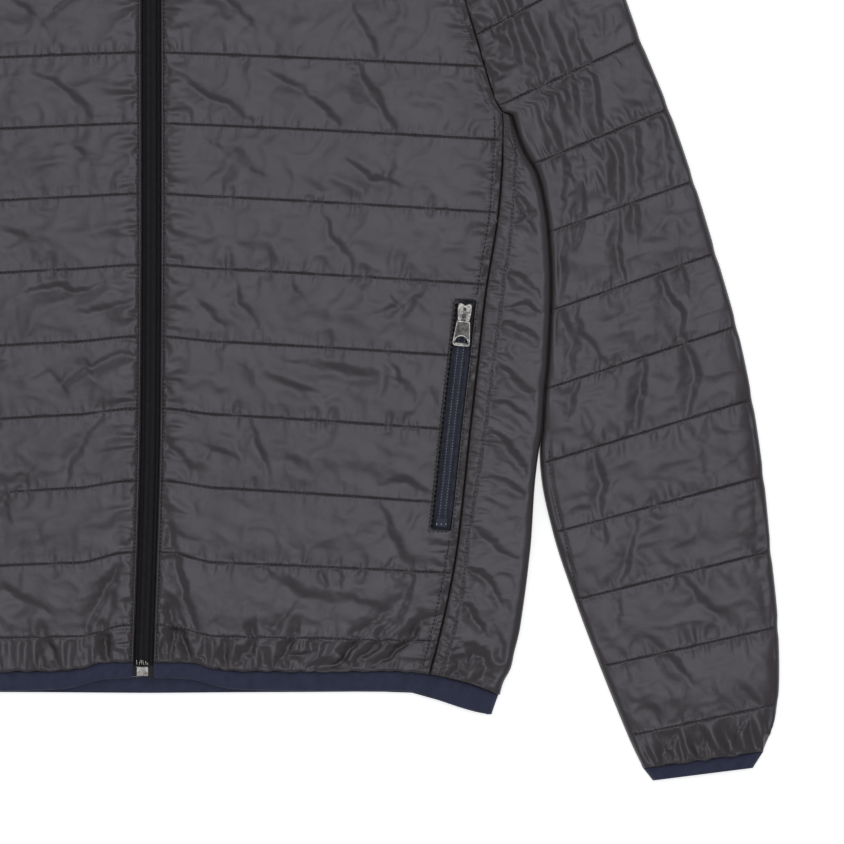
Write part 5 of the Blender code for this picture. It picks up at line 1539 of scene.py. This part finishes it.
def cuff_binding(side):
    """Elastic ring at the sleeve's end."""
    rng = np.random.default_rng(on_side(side, 91))
    start = np.array(SLEEVE_LINES[-1]).reshape(2, 2)
    end = np.array(CUFF_FREE_EDGE)
    shares, heights = binding_section(BINDING_TOP, BINDING_UNDER)
    _, under = binding_section(UNDER_Z, BINDING_OVER)
    rows, inners = [], []
    for share, top, low in zip(mix(0.004, 1.0, shares), heights, under):
        a, b = mix(start[0], end[0], share), mix(start[1], end[1], share)
        width = math.dist(a, b)
        direction = (b - a) / width
        u, z, upper = cuff_section(width, top, low)
        rows.append(np.stack([a[0] + direction[0] * u, a[1] + direction[1] * u, z], axis=-1))
        inside = np.clip(u, 3.0, width - 3.0)
        inners.append(np.stack([a[0] + direction[0] * inside, a[1] + direction[1] * inside,
                                np.where(upper > 0, FRONT_UNDER, BACK_TOP)], axis=-1))
    outer, inner = np.stack(rows), np.stack(inners)
    arc = length_along(outer[5])
    blank = np.zeros(outer.shape[:2])
    flat = np.stack([arc[None, :] + blank, shares[:, None] * 10.0 + blank], axis=-1)
    binding_waves(rng, outer, flat, (8.0, 0.25), None)
    piece = shell("cuff_elastic_" + SIDE_NAMES[side], to_side(outer, side), to_side(inner, side), flat,
                  row_step=4, col_step=5, ring_rows=len(rows), keep_cols=(55, 56))
    finish_piece(piece, BINDING, "binding", "cuff_binding_" + SIDE_NAMES[side])


# ---------------------------------------------------------------- zips

RIB_PITCH = 1.45        # one tooth of the coil to the next
RIB_HEIGHT = 0.34
TAPE_UNDER = 5.4
TAPE_TOP = 6.5
STOP_TOP = 9.8          # height of the bright dots on a pocket zip's stop
BOX_TOP = 6.9
FRONT_ZIP_ENDS = (-321.6, 316.6)
FRONT_ZIP_SECTION = [   # distance from the middle, height, ribbed
    (-6.2, 6.5, 0), (-4.7, 6.5, 0), (-3.75, 6.6, 0), (-3.4, 7.2, 1), (-2.6, 7.6, 1), (-1.5, 7.7, 1),
    (-0.55, 7.5, 1), (0.0, 6.8, 0), (0.55, 7.5, 1), (1.5, 7.7, 1), (2.6, 7.6, 1), (3.4, 7.2, 1),
    (3.75, 6.6, 0), (4.7, 6.5, 0), (6.2, 6.5, 0),
]
POCKET_ZIP_SECTION = [  # the same columns; the coil lies under the tape, so that its ribs are faint
    (-5.5, 6.2, 0), (-5.1, 6.4, 0), (-4.4, 6.5, 0), (-3.7, 6.75, 0), (-3.1, 7.25, 0.6), (-2.4, 7.45, 0.6),
    (-1.2, 7.5, 0.6), (-0.4, 7.4, 0.4), (0.0, 6.9, 0), (0.4, 7.4, 0.4), (1.2, 7.5, 0.6), (2.4, 7.45, 0.6),
    (3.1, 7.25, 0.6), (3.7, 6.75, 0), (4.4, 6.55, 0), (5.6, 6.5, 0), (6.65, 6.5, 0),
]


def zip_strip(name, section, middle_at, ends, side, material, slot, *nodes):
    """Closed zip: woven tapes with the row of coil along the middle."""
    count = int((ends[1] - ends[0]) / RIB_PITCH * 3) + 1
    y = np.linspace(*ends, count)[:, None]
    across, height, ribbed = (np.array(column)[None, :] for column in zip(*section))
    middle = middle_at(y)
    ribs = 0.5 - 0.5 * np.cos(2 * math.pi * (y / RIB_PITCH + 0.5 * (across > 0)))
    x, y, z = np.broadcast_arrays(middle + across, y, height + RIB_HEIGHT * ribbed * (ribs - 0.5))
    points = np.stack([x, y, z], axis=-1)
    under = points.copy()
    under[..., 2] = TAPE_UNDER
    flat = np.stack([across + 0 * y, y], axis=-1)
    piece = shell(name, to_side(points, side), to_side(under, side), flat, row_step=60, col_step=5)
    finish_piece(piece, material, slot, *nodes)
    return piece


def pocket_middle_x(y):
    return front_seam_x(y) - POCKET_INSET - POCKET_WIDTH / 2


# ---------------------------------------------------------------- stitching

STITCH = 2.2            # length of one stitch
STITCH_GAP = 0.45
STITCH_HALF = 0.44      # half its width
LOZENGE = ((0, 3, 4), (3, 1, 4), (1, 2, 4), (2, 0, 4), (3, 0, 5), (1, 3, 5), (2, 1, 5), (0, 2, 5))
POCKET_BOX = 1.1        # from the pocket's opening to the stitches round it


class Surface:
    """Height of the top of some pieces at a place."""

    def __init__(self, *pieces):
        graph = bpy.context.evaluated_depsgraph_get()
        self.trees = [BVHTree.FromObject(piece, graph) for piece in pieces]

    def height(self, x, y):
        best = FRONT_UNDER
        for tree in self.trees:
            place = tree.ray_cast(Vector((x, y, 40.0)) * MM, Vector((0, 0, -1)))[0]
            if place is not None:
                best = max(best, place.z / MM)
        return best


class Stitches:
    """Rows of stitches, each one a thin lozenge with its middle on the cloth."""

    def __init__(self, side):
        self.side = side
        self.points, self.faces = [], []

    def row(self, path, surface, lift=0.06, length=STITCH, half=STITCH_HALF, gap=STITCH_GAP):
        path = np.asarray(path, float)
        away = length_along(path)
        for i in range(int(away[-1] / (length + gap))):
            start = i * (length + gap)
            ends = [np.array([np.interp(start + step, away, path[:, k]) for k in (0, 1)])
                    for step in (0, length)]
            heights = [surface.height(*end) + lift for end in ends]
            middle = (ends[0] + ends[1]) / 2
            z = surface.height(*middle) + lift
            direction = (ends[1] - ends[0]) / length
            across = np.array([-direction[1], direction[0]]) * half
            first = len(self.points)
            self.points.extend([(*ends[0], heights[0] - 0.12), (*ends[1], heights[1] - 0.12),
                                (*(middle + across), z), (*(middle - across), z),
                                (*middle, z + half * 0.9), (*middle, z - half)])
            self.faces.extend((first + a, first + b, first + c) for a, b, c in LOZENGE)

    def along(self, x_at, low, high, surface, **settings):
        """Row along a line that is given as x of y."""
        y = np.linspace(low, high, max(2, int((high - low) / 4.0)))
        self.row(np.stack([self.side * x_at(y), y], axis=1), surface, **settings)

    def beside_seam(self, inset, low, high, surface, **settings):
        """Row at one distance inside the front seam."""
        self.along(lambda y: front_seam_x(y) - inset, low, high, surface, **settings)

    def finish(self, name, material, slot):
        finish_piece(make_mesh(name, np.array(self.points), [np.array(self.faces)]), material, slot)


def quilt_stitches(sewn, body):
    """Quilting lines from the front zip to the front seam or to the pocket."""
    for i in range(QUILT_LINES):
        line = QUILT_TOP_LINE - QUILT_PITCH * i
        first = float(zip_edge_x(quilt_y(line, 20.0), sewn.side)) + TOPSTITCH + 1.0
        last = float(front_edge_x(quilt_y(line, 200.0))) - 1.2
        if POCKET_BOTTOM < quilt_y(line, 200.0) < POCKET_TOP:
            last -= POCKET_INSET + POCKET_WIDTH + 0.6
        x = np.linspace(first, last, 60)
        sewn.row(np.stack([sewn.side * x, quilt_y(line, x)], axis=1), body)


def seam_stitches(sewn, body):
    """Rows beside the front zip, above and below the pocket, and along the side panel."""
    sewn.along(lambda y: zip_edge_x(y, sewn.side) + TOPSTITCH, -317, 250, body)
    for low, high in ((-322, POCKET_BOTTOM - 4), (POCKET_TOP + 4, 36)):
        sewn.beside_seam(POCKET_INSET + 0.4, low, high, body, length=2.6, half=0.5, gap=0.12)
    sewn.along(side_stitch_x, -327, 33, body)


def pocket_stitches(sewn, body, tape):
    """Box round the pocket's opening, a row along the inner edge of its zip and, on the outer edge, a dark
    strip of painted shadow.
    """
    left, right = POCKET_INSET + POCKET_WIDTH + POCKET_BOX, POCKET_INSET - POCKET_BOX
    low, high = POCKET_BOTTOM - POCKET_BOX, POCKET_TOP + POCKET_BOX
    sewn.beside_seam(left, low, high, body)
    sewn.beside_seam(right, low, high, body)
    for y in (low, high):
        edge = float(front_seam_x(y))
        sewn.row([(sewn.side * (edge - left), y), (sewn.side * (edge - right), y)], body)
    on_tape = Surface(tape)
    # The first row, wide and unbroken, is painted shadow: dark thread laid where the gap between the cloth
    # and the tape lies in shade.
    for inset, half in ((POCKET_INSET + POCKET_WIDTH - 0.75, 0.75), (POCKET_INSET + 0.45, 0.5)):
        sewn.beside_seam(inset, POCKET_BOTTOM + 1, POCKET_TOP - 1, on_tape, length=4.0, half=half, gap=-0.8)


def sleeve_stitches(sewn, arm):
    """Quilting lines across the sleeve and the seam above its cuff."""
    top = Surface(arm)
    for inner_x, inner_y, outer_x, outer_y in SLEEVE_LINES[2:-1]:
        ends = np.array([(inner_x, inner_y), (outer_x, outer_y)])
        if inner_y > UNDERARM_Y:
            ends[0, 0] = front_seam_x(inner_y) + 0.5
        inset = (ends[1] - ends[0]) / np.linalg.norm(ends[1] - ends[0])
        ends += np.array([inset * 1.6, -inset * 3.0])
        sewn.row(ends * (sewn.side, 1), top)
    low, high = sleeve_ends(np.linspace(9.85, 12.15, 40))
    across = (high - low) / np.linalg.norm(high - low, axis=1, keepdims=True)
    seam = low + across * sleeve_seam_u(low[:, 1] + 2.0)[:, None]
    sewn.row(seam * (sewn.side, 1), top, length=2.6, half=0.4, gap=0.15)


def stitching(side, front, panel, arm, tape):
    """All the stitches of one half of the jacket, with the strip of painted shadow along the pocket's
    opening.
    """
    sewn = Stitches(side)
    body = Surface(front, panel)
    quilt_stitches(sewn, body)
    seam_stitches(sewn, body)
    pocket_stitches(sewn, body, tape)
    sleeve_stitches(sewn, arm)
    sewn.finish("stitches_" + SIDE_NAMES[side], THREAD, "shell")


def pocket_chain(side, tape):
    """Two rows of pale chain stitch along the pocket zip."""
    sewn = Stitches(side)
    on_tape = Surface(tape)
    for off in (-1.85, 1.85):
        sewn.along(lambda y: pocket_middle_x(y) + off, POCKET_BOTTOM + 8, POCKET_TOP - 14, on_tape,
                   lift=0.14, length=1.35, half=0.36, gap=0.5)
    sewn.finish("pocket_chain_" + SIDE_NAMES[side], PALE_THREAD, "pocket_tape")


def pocket_stops(side):
    """Bright dots on the pocket zip's bottom stop, and its two small top stops."""
    points, faces = [], []
    dots = [(off, POCKET_BOTTOM + 3.9, STOP_TOP) for off in (-3.0, 0.0, 3.0)]
    dots += [(off, POCKET_TOP - 0.9, TAPE_TOP + 0.3) for off in (-5.2, 5.2)]
    for off, y, height in dots:
        middle = side * (float(pocket_middle_x(y)) + off)
        tube(points, faces, [(middle - 0.35, y), (middle + 0.35, y)], 0.55, height=height)
    bars_piece("pocket_stops_" + SIDE_NAMES[side], points, faces, BODY)


# ---------------------------------------------------------------- pulls

SLIDER_UNDER = 7.9
BAR_ABOVE = SLIDER_UNDER + 2.0 + 1.4    # height of the bar that a pull swings on
PULL_TILT = 5.0         # degrees; the free end lies lower than the bar
PULL_FACE = 0.7         # half the plate's thickness
RIM = 0.55              # radius of the raised rim
PULL_RIM = [            # x, y of the rim's right half, from the crossbar to the free end
    (0.0, -5.7), (3.6, -5.7), (4.0, -6.2), (5.3, -19.6), (5.1, -20.7), (4.3, -21.2), (0.0, -21.3),
]
PULL_LOOP = [           # x, y of the loop round the bar, right half
    (0.0, 0.15), (1.1, 0.1), (1.8, -0.6), (1.8, -4.4), (2.6, -5.4),
]
MOON_FLAT_Y = -19.4     # flat side of the half-moon hole
MOON_RIM = 4.6
FRONT_SLIDER_DOWN = 11.0    # from the collar's upper edge to the front slider


def tube(points, faces, path, radius, sides=8, closed=False, height=0.0):
    """Add a round bar along a path of x, y points at one height."""
    path = np.asarray(path, float)
    count = len(path)
    ahead, behind = np.roll(path, -1, axis=0), np.roll(path, 1, axis=0)
    if not closed:
        ahead[-1], behind[0] = path[-1], path[0]
    direction = ahead - behind
    direction /= np.linalg.norm(direction, axis=1, keepdims=True)
    first = len(points)
    for (x, y), (dx, dy) in zip(path, direction):
        for k in range(sides):
            turn = 2 * math.pi * k / sides
            out = radius * math.cos(turn)
            points.append((x - dy * out, y + dx * out, height + radius * math.sin(turn)))
    for i in range(count if closed else count - 1):
        here, there = first + i * sides, first + (i + 1) % count * sides
        for k in range(sides):
            after = (k + 1) % sides
            faces.append((here + k, here + after, there + after, there + k))
    if not closed:
        for start, order in ((first, 1), (first + (count - 1) * sides, -1)):
            ring = [start + k for k in range(sides)][::order]
            faces.extend((ring[0], ring[k], ring[k + 1], ring[k + 1]) for k in range(1, sides - 1))


def rounded(path, steps=4):
    """A path with its corners drawn as short curves."""
    path = np.asarray(path, float)
    out = [path[0]]
    for before, corner, after in zip(path, path[1:], path[2:]):
        reach = min(0.6, np.linalg.norm(corner - before) / 2.2, np.linalg.norm(after - corner) / 2.2)
        start = corner + (before - corner) / np.linalg.norm(before - corner) * reach
        end = corner + (after - corner) / np.linalg.norm(after - corner) * reach
        for i in range(steps + 1):
            t = i / steps
            out.append((1 - t) ** 2 * start + 2 * t * (1 - t) * corner + t * t * end)
    out.append(path[-1])
    return np.array(out)


def bars_piece(name, points, faces, body):
    """Bright metal piece made of round bars."""
    quads = np.array(faces)
    flat_ends = quads[:, 2] == quads[:, 3]
    piece = make_mesh(name, np.array(points), [quads[~flat_ends], quads[flat_ends][:, :3]])
    finish_piece(piece, METAL, "metal", body=body)


def zip_box_trim():
    """Bright edge of the front zip's box and the crumpled strip ends that stand out above it."""
    rng = np.random.default_rng(101)
    points, faces = [], []
    tube(points, faces, [(-6.9, -323.0), (0.9, -323.0)], 0.75, height=BOX_TOP)
    for x in (-6.6, -5.2, -3.4, -2.0, -0.6, 0.6):
        y = -321.2 + rng.uniform(-0.5, 0.4)
        tip = (x + rng.uniform(-1.0, 1.0), y + rng.uniform(1.4, 3.6))
        tube(points, faces, [(x, y), tip], 0.32, height=8.1 + rng.uniform(-0.2, 0.2))
    bars_piece("zip_box_trim", points, faces, BODY)


def pull_rims(name, place, body):
    """Raised bright rims of a pull: its border, crossbar, loop and the edge of its half moon."""
    points, faces = [], []
    right = rounded(PULL_RIM)
    left = right[-2:0:-1] * (-1, 1)
    tube(points, faces, np.concatenate([right, left]), RIM, closed=True, height=PULL_FACE)
    loop = rounded(PULL_LOOP)
    whole = np.concatenate([loop[:0:-1] * (-1, 1), loop])
    tube(points, faces, whole, 0.5, height=PULL_FACE - 0.15)
    arc = [math.radians(180 * i / 14) for i in range(15)]
    moon = [(MOON_RIM * math.cos(a), MOON_FLAT_Y + MOON_RIM * math.sin(a)) for a in arc]
    tube(points, faces, moon, 0.4, height=PULL_FACE)
    tube(points, faces, [(-4.6, MOON_FLAT_Y - 1.1), (4.6, MOON_FLAT_Y - 1.1)], 0.95, height=PULL_FACE - 0.3)
    matrix = place @ Matrix.Rotation(math.radians(PULL_TILT), 4, "X")
    placed = [tuple(matrix @ (Vector(point) * MM) / MM) for point in points]
    bars_piece(name, placed, faces, body)


def zip_place(x, y, lean, side):
    """Place of a pull whose slider is at x and y on a zip that leans from the vertical."""
    turn = Matrix.Rotation(-side * lean, 4, "Z")
    return Matrix.Translation(Vector((side * x, y, BAR_ABOVE)) * MM) @ turn


def pocket_pull(side):
    top, bottom = pocket_middle_x(POCKET_TOP), pocket_middle_x(POCKET_BOTTOM)
    lean = math.atan2(top - bottom, POCKET_TOP - POCKET_BOTTOM)
    y = POCKET_TOP - POCKET_SLIDER_DOWN
    place = zip_place(pocket_middle_x(y), y, lean, side)
    pull_rims("pull_rims_" + SIDE_NAMES[side], place, SIDE_NAMES[side] + "_pocket_pull")


def front_pull():
    y = SHOULDER_Y - NECK_DEPTH + COLLAR_HEIGHT - FRONT_SLIDER_DOWN
    pull_rims("pull_rims_front", zip_place(float(zip_middle_x(y)), y, 0.0, 1), "front_pull")


def dress_hardware():
    """Materials for the parts that stay as the CAD model has them."""
    materials = {"slider": BOX_METAL, "pull": STEEL, "box": BOX_METAL, "stop": POCKET_TAPE}
    for name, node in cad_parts.items():
        for word, material in materials.items():
            if word in name:
                node.data.materials.clear()
                node.data.materials.append(material)


# ---------------------------------------------------------------- camera, light and floor

PHOTO_CENTRE = (178.75, -163.15)
PHOTO_WIDTH = 548.6
CAMERA_HEIGHT = 6000.0


SKY = (0.96, 0.98, 1.0, 1.0)
SKY_STRENGTH = 0.47
LAMPS = (               # name, place, what it points at, size, power, colour
    ("overhead", (0.42, 0.20, 5.0), (0.17, -0.16, 0.0), 2.3, 51.6, (1.0, 0.99, 1.0)),
    ("window", (-1.6, 1.4, 1.4), (0.15, -0.15, 0.0), 1.2, 12.0, (0.93, 0.96, 1.0)),
)
FLOOR_HALF = 6.0
FLOOR_GLOW = 0.55       # keeps the floor white between the lamps' shadows


def camera_above():
    """Camera that looks straight down on the part of the jacket that the photo shows."""
    data = bpy.data.cameras.new("camera")
    data.sensor_width = 36.0
    data.lens = 36.0 * (CAMERA_HEIGHT - LINE_TOP) / PHOTO_WIDTH
    data.clip_end = 50.0
    camera = bpy.data.objects.new("camera", data)
    camera.location = (PHOTO_CENTRE[0] * MM, PHOTO_CENTRE[1] * MM, CAMERA_HEIGHT * MM)
    scene = bpy.context.scene
    scene.collection.objects.link(camera)
    scene.camera = camera
    scene.view_settings.view_transform = "Standard"


def studio_light():
    """Even pale surroundings, a large lamp overhead and a weaker one from the photo's upper left."""
    world = bpy.data.worlds.new("studio")
    world.use_nodes = True
    background = world.node_tree.nodes["Background"]
    background.inputs["Color"].default_value = SKY
    background.inputs["Strength"].default_value = SKY_STRENGTH
    bpy.context.scene.world = world
    for name, place, target, size, power, colour in LAMPS:
        light = bpy.data.lights.new(name, "AREA")
        light.shape = "RECTANGLE"
        light.size = light.size_y = size
        light.energy = power
        light.color = colour
        lamp = bpy.data.objects.new(name, light)
        lamp.location = place
        lamp.rotation_euler = (Vector(target) - Vector(place)).to_track_quat("-Z", "Y").to_euler()
        lamp.visible_camera = False
        bpy.context.scene.collection.objects.link(lamp)


def floor():
    """White ground under the jacket, which belongs to the picture alone."""
    corners = [(-FLOOR_HALF, -FLOOR_HALF, 0), (FLOOR_HALF, -FLOOR_HALF, 0),
               (FLOOR_HALF, FLOOR_HALF, 0), (-FLOOR_HALF, FLOOR_HALF, 0)]
    data = bpy.data.meshes.new("floor")
    data.from_pydata(corners, [], [(0, 1, 2, 3)])
    piece = bpy.data.objects.new("floor", data)
    bpy.context.scene.collection.objects.link(piece)
    made = new_material("floor_white", (0.86, 0.86, 0.86), 0.9, Specular_IOR_Level=0.1)
    shader = made.node_tree.nodes["Principled BSDF"]
    shader.inputs["Emission Color"].default_value = (1.0, 1.0, 1.0, 1.0)
    shader.inputs["Emission Strength"].default_value = FLOOR_GLOW
    data.materials.append(made)


# ---------------------------------------------------------------- the whole jacket

camera_above()
studio_light()
floor()
back_panel()
collar()
hem_binding()
zip_strip("front_zip_tape", FRONT_ZIP_SECTION, zip_middle_x, FRONT_ZIP_ENDS, 1, ZIP_TAPE, "zip_tape",
          "front_zip_left", "front_zip_right")
for side in (1, -1):
    front = front_panel(side)
    panel = side_panel(side)
    arm = sleeve(side)
    cuff_binding(side)
    tape = zip_strip("pocket_tape_" + SIDE_NAMES[side], POCKET_ZIP_SECTION, pocket_middle_x,
                     (POCKET_BOTTOM + 0.3, POCKET_TOP - 0.3), side, POCKET_TAPE, "pocket_tape",
                     "pocket_zip_" + SIDE_NAMES[side])
    stitching(side, front, panel, arm, tape)
    pocket_stops(side)
    pocket_chain(side, tape)
    pocket_pull(side)
dress_hardware()
zip_box_trim()
front_pull()
